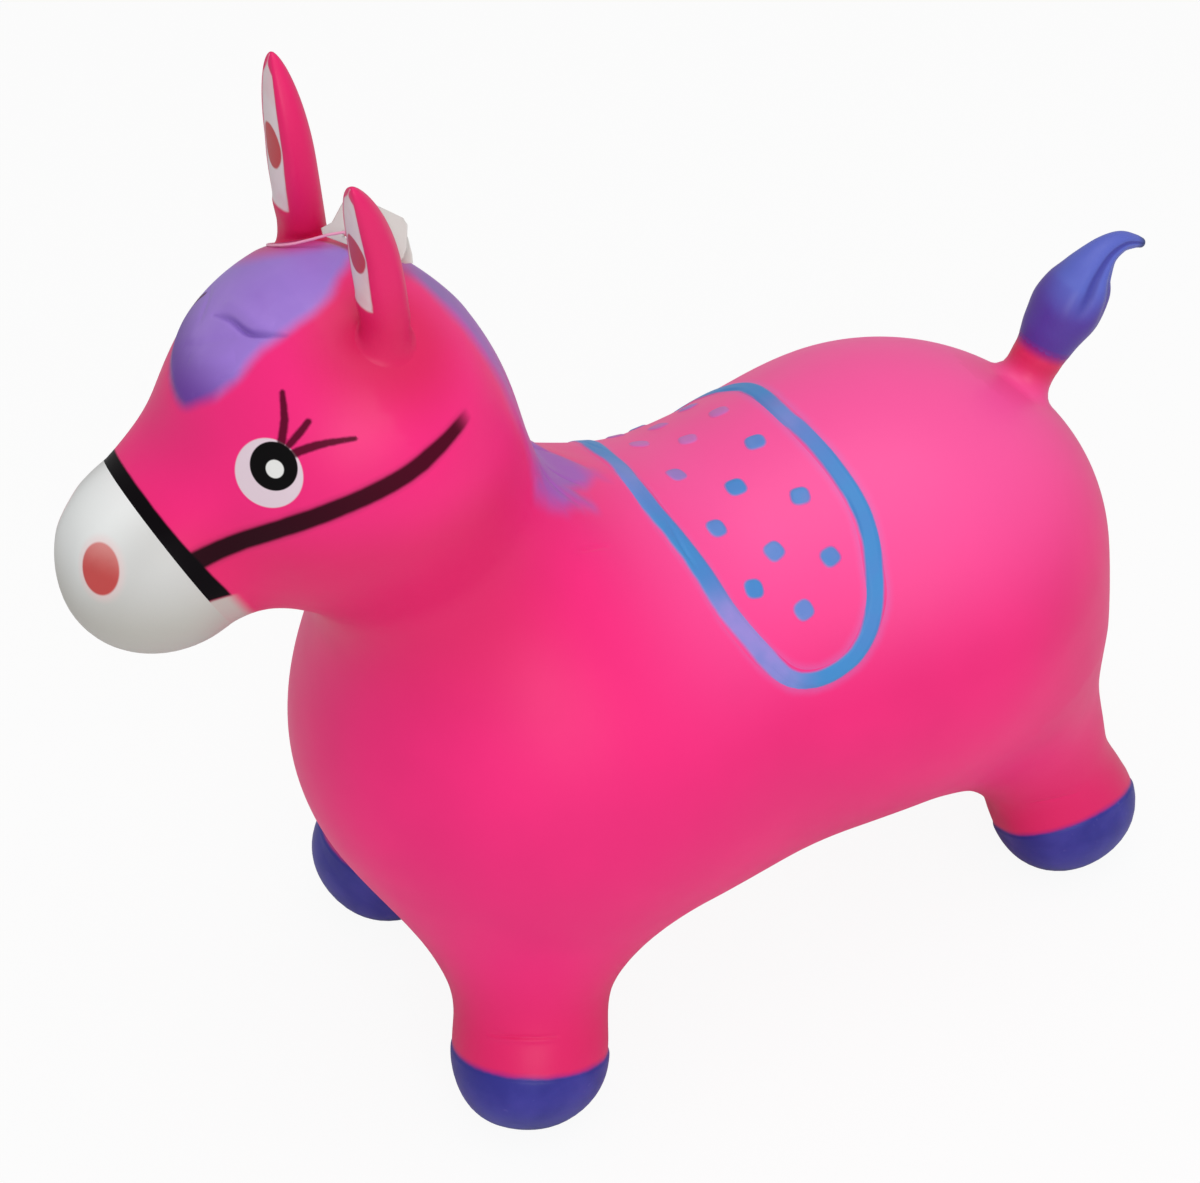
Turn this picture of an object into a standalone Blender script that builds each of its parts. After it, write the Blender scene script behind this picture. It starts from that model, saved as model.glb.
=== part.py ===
"""Inflatable bouncy horse: a hollow soft-PVC hopper that a small child sits on.

Metres, +Z up. The horse faces -Y, its left side is +X, and it stands on Z = 0, with the
origin under the middle of its length.
One field of rounded masses, blended into each other, gives the blown skin. The skin is a
hollow shell, divided where its paint changes and where the soft wall flexes.
"""
import math

import bmesh
import bpy
import numpy as np
from mathutils import Matrix, Vector

# Skin
WALL = 0.0022                           # thickness of the moulded skin
GAP = 0.0003                            # between pieces that meet
BODY_PITCH = 0.020                      # side of a facet on the torso
LIMB_PITCH = 0.0135                     # and on the head, neck, legs and hooves
LINING_PITCH = 0.020                    # and on the skin's inner side
RELAX_ROUNDS = 12                       # smoothing passes that even out the facets
RELAX_SHARE = 0.6                       # of the way to the neighbours' middle in each pass
FIELD_STEP = 0.0004                     # distance over which the field's slope is taken
MARCH_STEP = 0.002                      # stride of the search for the skin along a line

# Body masses
CHEST_HEIGHT = 0.189                    # middle of the chest above the floor
CHEST_Y = -0.055
CHEST_RADII = (0.109, 0.122, 0.102)
RUMP_HEIGHT = 0.207
RUMP_Y = 0.131
RUMP_RADII = (0.1035, 0.1175, 0.0965)
BARREL_RADIUS = 0.1055
BARREL_DROP = 0.021                     # barrel's middle below the chest's
BODY_BLEND = 0.061

# Neck, head and muzzle
NECK_BASE_OFFSET = (0.0, -0.012, 0.042)     # from the chest's middle
NECK_BASE_RADIUS = 0.065
NECK_TOP_RADIUS = 0.056
NECK_BLEND = 0.061
HEAD_OFFSET = (0.0, -0.091, 0.162)          # from the neck's base
HEAD_RADII = (0.071, 0.063, 0.070)
HEAD_BLEND = 0.044
FACE_RADIUS = 0.053
MUZZLE_OFFSET = (0.0, -0.088, -0.0415)      # from the head's middle
MUZZLE_RADII = (0.041, 0.039, 0.041)
FACE_END_RADIUS = 0.0315
MUZZLE_BLEND = 0.026

# Legs and hooves
HOOF_RADIUS = 0.037
HOOF_HEIGHT = 0.0325                    # half height of the hoof's ball
FOOT_FLAT = 0.0015                      # depth of the flat tread, about 22 mm across
HOOF_BLEND = 0.020
LEG_BLEND = 0.048
FRONT_LEG_ROOT = (0.039, -0.032, -0.0665)   # from the chest's middle
FRONT_HOOF_STEP = (0.043, -0.026)           # hoof's middle from the leg's root, in plan
FRONT_LEG_RADII = (0.046, 0.033)
REAR_LEG_ROOT = (0.041, 0.056, -0.0725)     # from the rump's middle
REAR_HOOF_STEP = (0.0235, 0.040)
REAR_LEG_RADII = (0.045, 0.033)
LEG_LENGTH = 0.045                      # leg zone's top above the hoof's middle, along the leg
FLOOR_REACH = 1.0                       # of the cutter that flattens the treads
HOOF_LINE_HEIGHT = 0.005                # paint line above the hoof's middle, along the leg
LEG_CUT_RADIUS = 0.052                  # of the round cutters that part legs and hooves

# Places where the neck, head and muzzle zones begin
NECK_LINE_HEIGHT = 0.076                # above the neck's base, along the neck
HEAD_LINE_HEIGHT = 0.134
MUZZLE_LINE_SETBACK = 0.012             # behind the muzzle's middle, along the face
MUZZLE_LINE_TILT = math.radians(8)
HEAD_CUT = (0.24, 0.32)                 # radius and reach of the cutters round the head
MUZZLE_CUT = (0.10, 0.12)               # and round the muzzle

# Ears
EAR_SPREAD = 0.082                      # between the two roots
EAR_SETBACK = 0.0095                    # behind the head's middle
EAR_HINGE_RISE = 0.0044                 # above the head's skin
EAR_LENGTH = 0.0841                     # above the hinge
EAR_ROOT_RADIUS = 0.0105
EAR_HALF_WIDTH = 0.0130
EAR_BACK_DEPTH = 0.0105
EAR_FRONT_DEPTH = 0.0085
EAR_WIDEST = 0.42                       # share of the length
EAR_FULLNESS = 0.6                      # power of the taper to the tip; less is fuller
EAR_STATIONS = (0.1, 0.24, 0.42, 0.58, 0.73, 0.86, 0.95)    # sections, as shares of the length
EAR_HOLLOW_STATIONS = 5                 # of them that the hollow reaches
# The soft ears don't stand quite alike: how far the tip splays outward, nods and curls forward
EAR_LEAN = {"left": (0.019, 0.004, 0.015), "right": (0.007, 0.0045, 0.000)}

# Tail
TAIL_ANGLE = math.radians(38.7)         # of the root on the rump, above the horizontal
TAIL_RISE = math.radians(59)            # of the root's own direction
TAIL_HINGE_RISE = 0.002                 # above the bare rump, along the root
TAIL_STUB_LENGTH = 0.006                # beyond the hinge
TAIL_STUB_RADIUS = 0.0135
TAIL_STUB_BLEND = 0.030
TAIL_RECESS = 0.003                     # room round the root where it flexes
TAIL_ROOT_RADIUS = 0.0125
TAIL_BEND = math.radians(20)
# Stations of the tail: how far back and up from the hinge, and the radius there; the tip curls over
TAIL_SETBACKS = (0.0, 0.008, 0.015, 0.024, 0.033, 0.042, 0.054, 0.066)
TAIL_HEIGHTS = (0.0, 0.0135, 0.023, 0.038, 0.052, 0.0625, 0.068, 0.0655)
TAIL_RADII = (TAIL_ROOT_RADIUS, 0.0130, 0.0148, 0.0185, 0.0160, 0.0110, 0.0068, 0.0036)
TAIL_PAINT_STATION = 2                  # the tuft begins here
TAIL_HOLLOW_STATION = 5.5               # and its hollow ends here
TAIL_TIP_REACH = 0.7                    # of the end's rounding, as a share of the last radius
STATION_STEP = 0.01                     # over which the tail curve's direction is taken

# Flexing roots of the ears and tail
HINGE_CLEARANCE = 0.0006                # round the root's ball
ROOT_DEPTH = 0.84                       # of the ball down to its air hole, as a share of its radius

# Valve in the belly
VALVE_Y = 0.059
VALVE_BORE = 0.005
VALVE_COLLAR_RADIUS = 0.008
VALVE_FLANGE_RADIUS = 0.0115
VALVE_FLANGE_THICKNESS = 0.0015
VALVE_COLLAR_PROUD = 0.0008             # below the skin
VALVE_COLLAR_DEPTH = 0.013              # inside the skin
PLUG_HEAD_RADIUS = 0.0092
PLUG_HEAD_THICKNESS = 0.0022
PLUG_RIM = 0.0007                       # chamfer round the head
PLUG_STEM_LENGTH = 0.0115
PLUG_STEM_TAPER = 0.0006

# Blank hang tag, a folded card on a plastic loop round the right ear
TAG_LENGTH = 0.033
TAG_HEIGHT = 0.0215
TAG_CARD = 0.0005
TAG_OPENING = 0.0045                    # between the leaves' free edges
TAG_FOLD = 0.00125                      # from the fold's outer edge to its inner one
TAG_FOLD_PLACE = (-0.022, 0.012)        # in plan, from the head's middle
TAG_YAW = math.radians(60)              # of the card's course, from straight back to the left ear
TAG_LEAN = math.radians(-40)            # top leans back
TAG_CLEARANCE = 0.0022                  # lower edge above the skin
TAG_HOLE_RADIUS = 0.0022
TAG_HOLE_INSET = (0.0095, 0.0042)       # from the fold and from the lower edge
LOOP_RADIUS = 0.0006
LOOP_PASS = 0.0035                      # to either side of the card, through its hole
# Route round the ear: how far outward and back from its hinge, and height above the skin
LOOP_ROUTE = ((-0.0180, -0.0110, 0.0030), (-0.0080, -0.0160, 0.0018), (0.0040, -0.0150, 0.0016),
              (0.0125, -0.0085, 0.0016), (0.0150, 0.0010, 0.0016), (0.0115, 0.0105, 0.0016),
              (0.0030, 0.0155, 0.0016), (-0.0080, 0.0170, 0.0018), (-0.0180, 0.0150, 0.0030))

# Colour and roughness of each finish
PINK = ((0.80, 0.024, 0.205), 0.34)
PURPLE = ((0.065, 0.052, 0.30), 0.38)
WHITE = ((0.82, 0.81, 0.80), 0.40)


def vector(values):
    return np.array(values, float)


CHEST = vector((0.0, CHEST_Y, CHEST_HEIGHT))
RUMP = vector((0.0, RUMP_Y, RUMP_HEIGHT))
NECK_BASE = CHEST + vector(NECK_BASE_OFFSET)
HEAD = NECK_BASE + vector(HEAD_OFFSET)
MUZZLE = HEAD + vector(MUZZLE_OFFSET)
HOOF_Z = HOOF_HEIGHT - FOOT_FLAT


def leg_line(root, step, centre):
    """Root and hoof middle of the left leg."""
    top = centre + vector(root)
    return top, vector((top[0] + step[0], top[1] + step[1], HOOF_Z))


LEGS = {"front": (*leg_line(FRONT_LEG_ROOT, FRONT_HOOF_STEP, CHEST), FRONT_LEG_RADII),
        "rear": (*leg_line(REAR_LEG_ROOT, REAR_HOOF_STEP, RUMP), REAR_LEG_RADII)}


def unit(v):
    return v / np.linalg.norm(v)


TAIL_AXIS = vector((0.0, math.cos(TAIL_RISE), math.sin(TAIL_RISE)))


# Field of blended masses: distance to the skin, negative inside

def ellipsoid(p, centre, radii):
    q = p - centre
    k0 = np.linalg.norm(q / radii, axis=-1)
    k1 = np.linalg.norm(q / vector(radii) ** 2, axis=-1) + 1e-12
    return k0 * (k0 - 1) / k1


def round_cone(p, a, b, ra, rb):
    """Two balls and the cone that wraps them."""
    axis = b - a
    length = np.linalg.norm(axis)
    axis = axis / length
    q = p - a
    along = q @ axis
    across = np.linalg.norm(q - along[..., None] * axis, axis=-1)
    slope = (ra - rb) / length
    cosine = math.sqrt(1 - slope * slope)
    # Foot of the shortest line on the axis, clamped to the balls' middles
    foot = np.clip(along + across * slope / cosine, 0, length)
    return np.hypot(across, along - foot) - (ra + (rb - ra) * foot / length)


def blend(a, b, width):
    """Smooth union with a fillet of about the given width."""
    h = np.maximum(width - np.abs(a - b), 0) / width
    return np.minimum(a, b) - h * h * width / 4


def body_field(p):
    """The whole skin but for the tail's stub."""
    barrel_z = CHEST_HEIGHT - BARREL_DROP
    barrel = round_cone(p, vector((0, CHEST_Y, barrel_z)), vector((0, RUMP_Y, barrel_z)),
                        BARREL_RADIUS, BARREL_RADIUS)
    body = blend(ellipsoid(p, CHEST, CHEST_RADII), barrel, BODY_BLEND)
    body = blend(body, ellipsoid(p, RUMP, RUMP_RADII), BODY_BLEND)
    face = round_cone(p, HEAD, MUZZLE, FACE_RADIUS, FACE_END_RADIUS)
    head = blend(ellipsoid(p, HEAD, HEAD_RADII), face, HEAD_BLEND)
    head = blend(head, ellipsoid(p, MUZZLE, MUZZLE_RADII), MUZZLE_BLEND)
    neck = round_cone(p, NECK_BASE, HEAD, NECK_BASE_RADIUS, NECK_TOP_RADIUS)
    body = blend(body, blend(head, neck, HEAD_BLEND), NECK_BLEND)
    for side in (1, -1):
        q = p * (side, 1, 1)
        for root, hoof, radii in LEGS.values():
            boot = ellipsoid(q, hoof, (HOOF_RADIUS, HOOF_RADIUS, HOOF_HEIGHT))
            leg = blend(round_cone(q, root, hoof, *radii), boot, HOOF_BLEND)
            body = blend(body, leg, LEG_BLEND)
    return body


def skin_field(p):
    stub = round_cone(p, TAIL_HINGE - 3 * TAIL_STUB_LENGTH * TAIL_AXIS,
                      TAIL_HINGE + TAIL_STUB_LENGTH * TAIL_AXIS, TAIL_STUB_RADIUS, TAIL_STUB_RADIUS)
    return blend(body_field(p), stub, TAIL_STUB_BLEND)


def gradient(p):
    return np.stack([(skin_field(p + d) - skin_field(p - d)) / (2 * FIELD_STEP)
                     for d in np.eye(3) * FIELD_STEP], axis=-1)


def settle(p, level):
    """Move points along the gradient onto one level of the field."""
    for _ in range(4):
        g = gradient(p)
        p = p - g * ((skin_field(p) - level) / (g * g).sum(-1))[:, None]
    return p


def skin_along(start, direction, level=0.0, field=skin_field):
    """First point from start along direction where the field rises above a level."""
    start = vector(start)
    direction = unit(vector(direction))
    inside, outside = 0.0, MARCH_STEP
    while field((start + direction * outside)[None])[0] < level:
        inside = outside
        outside += MARCH_STEP
    for _ in range(30):
        middle = (inside + outside) / 2
        if field((start + direction * middle)[None])[0] < level:
            inside = middle
        else:
            outside = middle
    return start + direction * inside


def tail_hinge():
    """Middle of the tail's ball, just above the bare rump at TAIL_ANGLE."""
    along = (0.0, math.cos(TAIL_ANGLE), math.sin(TAIL_ANGLE))
    return skin_along(RUMP, along, field=body_field) + TAIL_AXIS * TAIL_HINGE_RISE


TAIL_HINGE = tail_hinge()


# Mesh and object helpers

def material(name, finish):
    colour, roughness = finish
    mat = bpy.data.materials.new(name)
    mat.use_nodes = True
    shader = mat.node_tree.nodes["Principled BSDF"]
    shader.inputs["Base Color"].default_value = (*colour, 1)
    shader.inputs["Roughness"].default_value = roughness
    shader.inputs["Metallic"].default_value = 0.0
    mat.diffuse_color = (*colour, 1)
    return mat


def add_object(name, mesh, finish=None, origin=(0, 0, 0)):
    """Object whose mesh is given in world space, with its origin at a chosen point."""
    mesh.transform(Matrix.Translation(-Vector(origin)))
    obj = bpy.data.objects.new(name, mesh)
    obj.location = origin
    bpy.context.collection.objects.link(obj)
    if finish:
        mesh.materials.clear()
        mesh.materials.append(material(name, finish))
        mesh.shade_smooth()
        mesh.set_sharp_from_angle(angle=math.radians(35))
    return obj


def to_mesh(bm, name):
    bmesh.ops.recalc_face_normals(bm, faces=bm.faces)
    mesh = bpy.data.meshes.new(name)
    bm.to_mesh(mesh)
    bm.free()
    return mesh


def as_cutter(obj):
    obj.hide_render = True
    obj.display_type = 'WIRE'
    return obj


def cut(obj, cutter, operation='DIFFERENCE'):
    boolean = obj.modifiers.new(cutter.name, 'BOOLEAN')
    boolean.object = cutter
    boolean.operation = operation


def turn(segments):
    """Angles of a full turn."""
    return [2 * math.pi * i / segments for i in range(segments)]


def bridge(bm, lower, upper):
    for i, vert in enumerate(lower):
        j = (i + 1) % len(lower)
        bm.faces.new((vert, lower[j], upper[j], upper[i]))


def cap(bm, ring, point):
    pole = bm.verts.new(point)
    for i, vert in enumerate(ring):
        bm.faces.new((vert, ring[(i + 1) % len(ring)], pole))


def lofted(name, outer, inner, outer_tip=None, inner_tip=None):
    """Hollow tube from rings of points; it is open below, and above too unless it has tips."""
    bm = bmesh.new()
    walls = [[[bm.verts.new(p) for p in ring] for ring in wall] for wall in (outer, inner)]
    for wall in walls:
        for lower, upper in zip(wall, wall[1:]):
            bridge(bm, lower, upper)
    bridge(bm, walls[0][0], walls[1][0])
    if outer_tip is None:
        bridge(bm, walls[0][-1], walls[1][-1])
    else:
        cap(bm, walls[0][-1], outer_tip)
        cap(bm, walls[1][-1], inner_tip)
    return to_mesh(bm, name)


def turned(name, outline, centre, segments=24):
    """Solid of revolution about Z from a closed outline of (radius, height) points."""
    bm = bmesh.new()
    rings = []
    for radius, height in outline:
        if radius == 0:
            rings.append([bm.verts.new(Vector(centre) + Vector((0, 0, height)))])
            continue
        offsets = [Vector((radius * math.cos(a), radius * math.sin(a), height)) for a in turn(segments)]
        rings.append([bm.verts.new(Vector(centre) + offset) for offset in offsets])
    for lower, upper in zip(rings, rings[1:] + rings[:1]):
        if len(lower) == 1 and len(upper) == 1:
            continue
        for i in range(segments):
            j = (i + 1) % segments
            corners = [ring[k % len(ring)] for ring, k in ((lower, i), (lower, j), (upper, j), (upper, i))]
            bm.faces.new(list(dict.fromkeys(corners)))
    return to_mesh(bm, name)


def slab(name, point, normal, radius, depth, sides=4):
    """Cutter whose near face lies on a plane and whose body reaches on along the normal."""
    bm = bmesh.new()
    bmesh.ops.create_cone(bm, cap_ends=True, segments=sides, radius1=radius, radius2=radius, depth=depth)
    tilt = Vector(normal).to_track_quat('Z', 'X').to_matrix().to_4x4()
    middle = Vector(point) + Vector(normal) * depth / 2
    bmesh.ops.transform(bm, matrix=Matrix.Translation(middle) @ tilt, verts=bm.verts)
    return as_cutter(add_object(name, to_mesh(bm, name)))


def parting(name, point, normal, radius, depth, sides=4):
    """The two cutters of one parting plane, half a gap to either side of it."""
    shift = normal * GAP / 2
    return (slab(name + "_keep", point + shift, normal, radius, depth, sides),
            slab(name + "_drop", point - shift, normal, radius, depth, sides))


def ball(name, centre, radius):
    bm = bmesh.new()
    bmesh.ops.create_icosphere(bm, subdivisions=3, radius=radius, matrix=Matrix.Translation(Vector(centre)))
    return as_cutter(add_object(name, to_mesh(bm, name)))


# Skin

def rough_masses():
    """Middles and radii of balls that stand roughly for the skin."""
    masses = [(CHEST, vector(CHEST_RADII)), (RUMP, vector(RUMP_RADII)), (HEAD, vector(HEAD_RADII)),
              (MUZZLE, vector(MUZZLE_RADII))]
    barrel_ends = [vector((0, y, CHEST_HEIGHT - BARREL_DROP)) for y in (CHEST_Y, RUMP_Y)]
    runs = [(*barrel_ends, BARREL_RADIUS, BARREL_RADIUS),
            (NECK_BASE, HEAD, NECK_BASE_RADIUS, NECK_TOP_RADIUS),
            (HEAD, MUZZLE, FACE_RADIUS, FACE_END_RADIUS),
            (TAIL_HINGE - 3 * TAIL_STUB_LENGTH * TAIL_AXIS, TAIL_HINGE + TAIL_STUB_LENGTH * TAIL_AXIS,
             TAIL_STUB_RADIUS, TAIL_STUB_RADIUS)]
    for side in (1, -1):
        for root, hoof, radii in LEGS.values():
            runs.append((root * (side, 1, 1), hoof * (side, 1, 1), *radii))
    for a, b, ra, rb in runs:
        masses += [(a + (b - a) * t, np.full(3, ra + (rb - ra) * t)) for t in np.linspace(0, 1, 7)]
    return masses


def skin_surface(name, pitch, level):
    """Even closed mesh on one level of the field."""
    bm = bmesh.new()
    for centre, radii in rough_masses():
        place = Matrix.Translation(Vector(centre)) @ Matrix.Diagonal((*radii, 1))
        bmesh.ops.create_icosphere(bm, subdivisions=3, radius=1, matrix=place)
    rough = add_object(name, to_mesh(bm, name))
    remesh = rough.modifiers.new("even", 'REMESH')
    remesh.mode = 'VOXEL'
    remesh.voxel_size = pitch
    evaluated = rough.evaluated_get(bpy.context.evaluated_depsgraph_get())
    mesh = bpy.data.meshes.new_from_object(evaluated)
    bpy.data.objects.remove(rough)

    bm = bmesh.new()
    bm.from_mesh(mesh)
    bm.verts.index_update()
    p = vector([v.co for v in bm.verts])
    edges = np.array([[v.index for v in e.verts] for e in bm.edges])
    links = np.bincount(edges.ravel(), minlength=len(p))[:, None]
    p = settle(p, level)
    for _ in range(RELAX_ROUNDS):
        total = np.zeros_like(p)
        np.add.at(total, edges[:, 0], p[edges[:, 1]])
        np.add.at(total, edges[:, 1], p[edges[:, 0]])
        normal = gradient(p)
        normal /= np.linalg.norm(normal, axis=1, keepdims=True)
        move = total / links - p
        move -= normal * (move * normal).sum(1, keepdims=True)
        p = p + move * RELAX_SHARE
        p = settle(p, level)
    if level < 0:
        # The lining stays one wall above the flat treads
        p[:, 2] = np.maximum(p[:, 2], -level)
    for vert, point in zip(bm.verts, p):
        vert.co = point
    mesh = to_mesh(bm, name)
    if level < 0:
        mesh.flip_normals()
    return mesh


def hollow_skin(name, pitch, lining):
    """Outer surface and lining in one mesh: a closed shell with a sealed hollow."""
    bm = bmesh.new()
    for mesh in (skin_surface(name, pitch, 0.0), lining):
        bm.from_mesh(mesh)
    mesh = bpy.data.meshes.new(name)
    bm.to_mesh(mesh)
    bm.free()
    return mesh


def skin_zone(name, skin, finish, keep=None, drop=(), origin=(0, 0, 0)):
    """One zone of the skin: what a cutter keeps, less what other cutters drop."""
    obj = add_object(name, skin.copy(), finish, origin)
    if keep:
        cut(obj, keep, 'INTERSECT')
    for cutter in drop:
        cut(obj, cutter)
    return obj


# Ears

def ear_hinge(side):
    """Middle of the ear's ball, just above the head's skin."""
    start = HEAD + vector((side * EAR_SPREAD / 2, EAR_SETBACK, 0))
    return skin_along(start, (0, 0, 1)) + vector((0, 0, EAR_HINGE_RISE))


def ear_middle(hinge, side, height):
    """Point of the ear's curved middle line."""
    splay, nod, curl = EAR_LEAN["left" if side > 0 else "right"]
    share = max(height / EAR_LENGTH, 0)
    return Vector(hinge) + Vector((side * splay * share ** 2, -nod * share - curl * share ** 2, height))


def ear_ring(hinge, side, height, inset, segments=14):
    """Section across the ear: a ball below the hinge, above it a flat front and a round back."""
    if height <= 0:
        radius = math.sqrt(max((EAR_ROOT_RADIUS - inset) ** 2 - height ** 2, 0))
        width = back = front = radius
        share = 0.0
    else:
        share = height / EAR_LENGTH
        grow = math.sin(min(share / EAR_WIDEST, 1) * math.pi / 2)
        narrow = max(share - EAR_WIDEST, 0) / (1 - EAR_WIDEST)
        taper = max(1 - narrow ** 2, 0) ** EAR_FULLNESS
        width, back, front = [(EAR_ROOT_RADIUS + (full - EAR_ROOT_RADIUS) * grow) * taper - inset
                              for full in (EAR_HALF_WIDTH, EAR_BACK_DEPTH, EAR_FRONT_DEPTH)]
    middle = ear_middle(hinge, side, height)
    # The front goes from round at the root to nearly flat where the ear is widest
    flat = 1 - 0.5 * min(share / EAR_WIDEST, 1)
    ring = []
    for a in turn(segments):
        depth = back * math.sin(a)
        if math.sin(a) < 0:
            depth = -front * (-math.sin(a)) ** flat
        ring.append(middle + Vector((side * width * math.cos(a), depth, 0)))
    return ring


def ear(name, side):
    hinge = ear_hinge(side)
    heights = [-EAR_ROOT_RADIUS * share for share in (ROOT_DEPTH, ROOT_DEPTH / 2, 0.0)]
    hollow = len(heights) + EAR_HOLLOW_STATIONS
    heights += [EAR_LENGTH * share for share in EAR_STATIONS]
    outer = [ear_ring(hinge, side, h, 0.0) for h in heights]
    shrink = (EAR_ROOT_RADIUS - WALL) / EAR_ROOT_RADIUS
    inner = [ear_ring(hinge, side, h * (shrink if h < 0 else 1), WALL) for h in heights[:hollow]]
    tip = ear_middle(hinge, side, EAR_LENGTH)
    hollow_end = sum(inner[-1], Vector()) / len(inner[-1]) + Vector((0, 0, WALL))
    add_object(name, lofted(name, outer, inner, tip, hollow_end), PINK, hinge)


# Tail

def tail_station(k):
    """Setback, height and radius of a station; those past the ends repeat the last."""
    k = min(max(k, 0), len(TAIL_RADII) - 1)
    return vector((TAIL_SETBACKS[k], TAIL_HEIGHTS[k], TAIL_RADII[k]))


def tail_curve(t):
    """Offset from the hinge and radius at station number t, by a Catmull-Rom curve."""
    i = min(int(t), len(TAIL_RADII) - 2)
    s = t - i
    a, b, c, d = [tail_station(k) for k in range(i - 1, i + 3)]
    bend = 2 * a - 5 * b + 4 * c - d
    twist = 3 * b - a - 3 * c + d
    return 0.5 * (2 * b + (c - a) * s + bend * s ** 2 + twist * s ** 3)


def tail_direction(t):
    """Direction of the tail's curve at station number t."""
    last = len(TAIL_RADII) - 1
    run = tail_curve(min(t + STATION_STEP, last)) - tail_curve(max(t - STATION_STEP, 0))
    return unit(vector((0, run[0], run[1])))


def ring_round(middle, direction, radius, segments=16):
    """Ring of points square to a direction in the horse's middle plane."""
    up = vector((0, -direction[2], direction[1]))
    return [Vector(middle + radius * vector((math.cos(a), *(math.sin(a) * up[1:])))) for a in turn(segments)]


def tail_ring(t, inset, along=0.0):
    """Ring round the tail's curve; along moves it on by a small distance."""
    back, up, radius = tail_curve(t)
    direction = tail_direction(t)
    return ring_round(TAIL_HINGE + vector((0, back, up)) + direction * along, direction, radius - inset)


def tail_ball_ring(share, inset):
    """Ring on the lower half of the hinge's ball, at a share of its radius below its middle."""
    radius = TAIL_ROOT_RADIUS - inset
    direction = tail_direction(0)
    return ring_round(TAIL_HINGE - direction * radius * share, direction, radius * math.sqrt(1 - share ** 2))


def tail_root():
    walls = []
    for inset in (0.0, WALL):
        rings = [tail_ball_ring(share, inset) for share in (ROOT_DEPTH, ROOT_DEPTH / 2)]
        rings += [tail_ring(t, inset) for t in np.arange(0, TAIL_PAINT_STATION, 0.5)]
        rings.append(tail_ring(TAIL_PAINT_STATION, inset, along=-GAP / 2))
        walls.append(rings)
    add_object("tail_root", lofted("tail_root", *walls), PINK, TAIL_HINGE)


def tail_tuft():
    last = len(TAIL_RADII) - 1
    walls = []
    for inset, end in ((0.0, last), (WALL, TAIL_HOLLOW_STATION)):
        rings = [tail_ring(TAIL_PAINT_STATION, inset, along=GAP / 2)]
        rings += [tail_ring(t, inset) for t in np.arange(TAIL_PAINT_STATION + 0.5, end + 0.1, 0.5)]
        walls.append(rings)
    tips = [sum(rings[-1], Vector()) / len(rings[-1]) for rings in walls]
    tips[0] += Vector(tail_direction(last)) * TAIL_TIP_REACH * TAIL_RADII[-1]
    add_object("tail_tuft", lofted("tail_tuft", *walls, *tips), PURPLE, TAIL_HINGE)


# Valve

def valve_place():
    """Lowest point of the skin at the valve, and the highest lining under its flange."""
    start = (0, VALVE_Y, CHEST_HEIGHT - BARREL_DROP)
    low = skin_along(start, (0, 0, -1))
    rim = [vector(start) + VALVE_FLANGE_RADIUS * vector((math.cos(a), math.sin(a), 0)) for a in turn(8)]
    heights = [skin_along(point, (0, 0, -1), -WALL)[2] for point in rim]
    facet_rise = LINING_PITCH ** 2 / (8 * BARREL_RADIUS)
    return low, max(heights) + facet_rise + GAP


def valve():
    """Collar and plug; returns the cutter of the hole that they stand in."""
    low, seat = valve_place()
    seat -= low[2]
    collar = [(VALVE_BORE, -VALVE_COLLAR_PROUD), (VALVE_COLLAR_RADIUS, -VALVE_COLLAR_PROUD),
              (VALVE_COLLAR_RADIUS, seat), (VALVE_FLANGE_RADIUS, seat),
              (VALVE_FLANGE_RADIUS, seat + VALVE_FLANGE_THICKNESS),
              (VALVE_COLLAR_RADIUS, seat + VALVE_FLANGE_THICKNESS),
              (VALVE_COLLAR_RADIUS, VALVE_COLLAR_DEPTH), (VALVE_BORE, VALVE_COLLAR_DEPTH)]
    add_object("valve_collar", turned("valve_collar", collar, low), WHITE, low)
    top = -VALVE_COLLAR_PROUD - GAP
    stem = VALVE_BORE - GAP
    face = top - PLUG_HEAD_THICKNESS
    plug = [(0, face), (PLUG_HEAD_RADIUS - PLUG_RIM, face), (PLUG_HEAD_RADIUS, face + PLUG_RIM),
            (PLUG_HEAD_RADIUS, top), (stem, top),
            (stem - PLUG_STEM_TAPER, top + PLUG_STEM_LENGTH), (0, top + PLUG_STEM_LENGTH)]
    add_object("valve_plug", turned("valve_plug", plug, low), WHITE, low)
    reach = 2 * (WALL + VALVE_COLLAR_DEPTH)
    hole_foot = vector((0, VALVE_Y, low[2] - reach / 2))
    return slab("valve_hole", hole_foot, vector((0, 0, 1)), VALVE_COLLAR_RADIUS + GAP, reach, 24)


# Hang tag

def tag_frame():
    """Matrix from the card's own plane (fold at Y 0, lower edge at Z 0) to its place on the head."""
    fold = HEAD + vector((*TAG_FOLD_PLACE, 0))
    course = vector((math.sin(TAG_YAW), math.cos(TAG_YAW), 0))
    along = np.linspace(0, TAG_LENGTH, 9)
    heights = vector([skin_along(fold + course * s, (0, 0, 1))[2] for s in along])
    slope = (heights[-1] - heights[0]) / TAG_LENGTH
    foot = (heights - slope * along).max() + TAG_CLEARANCE
    tilt = Matrix.Rotation(math.atan(slope), 4, 'X') @ Matrix.Rotation(TAG_LEAN, 4, 'Y')
    return Matrix.Translation((fold[0], fold[1], foot)) @ Matrix.Rotation(-TAG_YAW, 4, 'Z') @ tilt


def tag_hole():
    """Middle of the punched hole, which is the tag's hinge."""
    return tag_frame() @ Vector((0, *TAG_HOLE_INSET))


def tag_across():
    """Direction square to the card."""
    return (tag_frame().to_3x3() @ Vector((1, 0, 0))).normalized()


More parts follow.
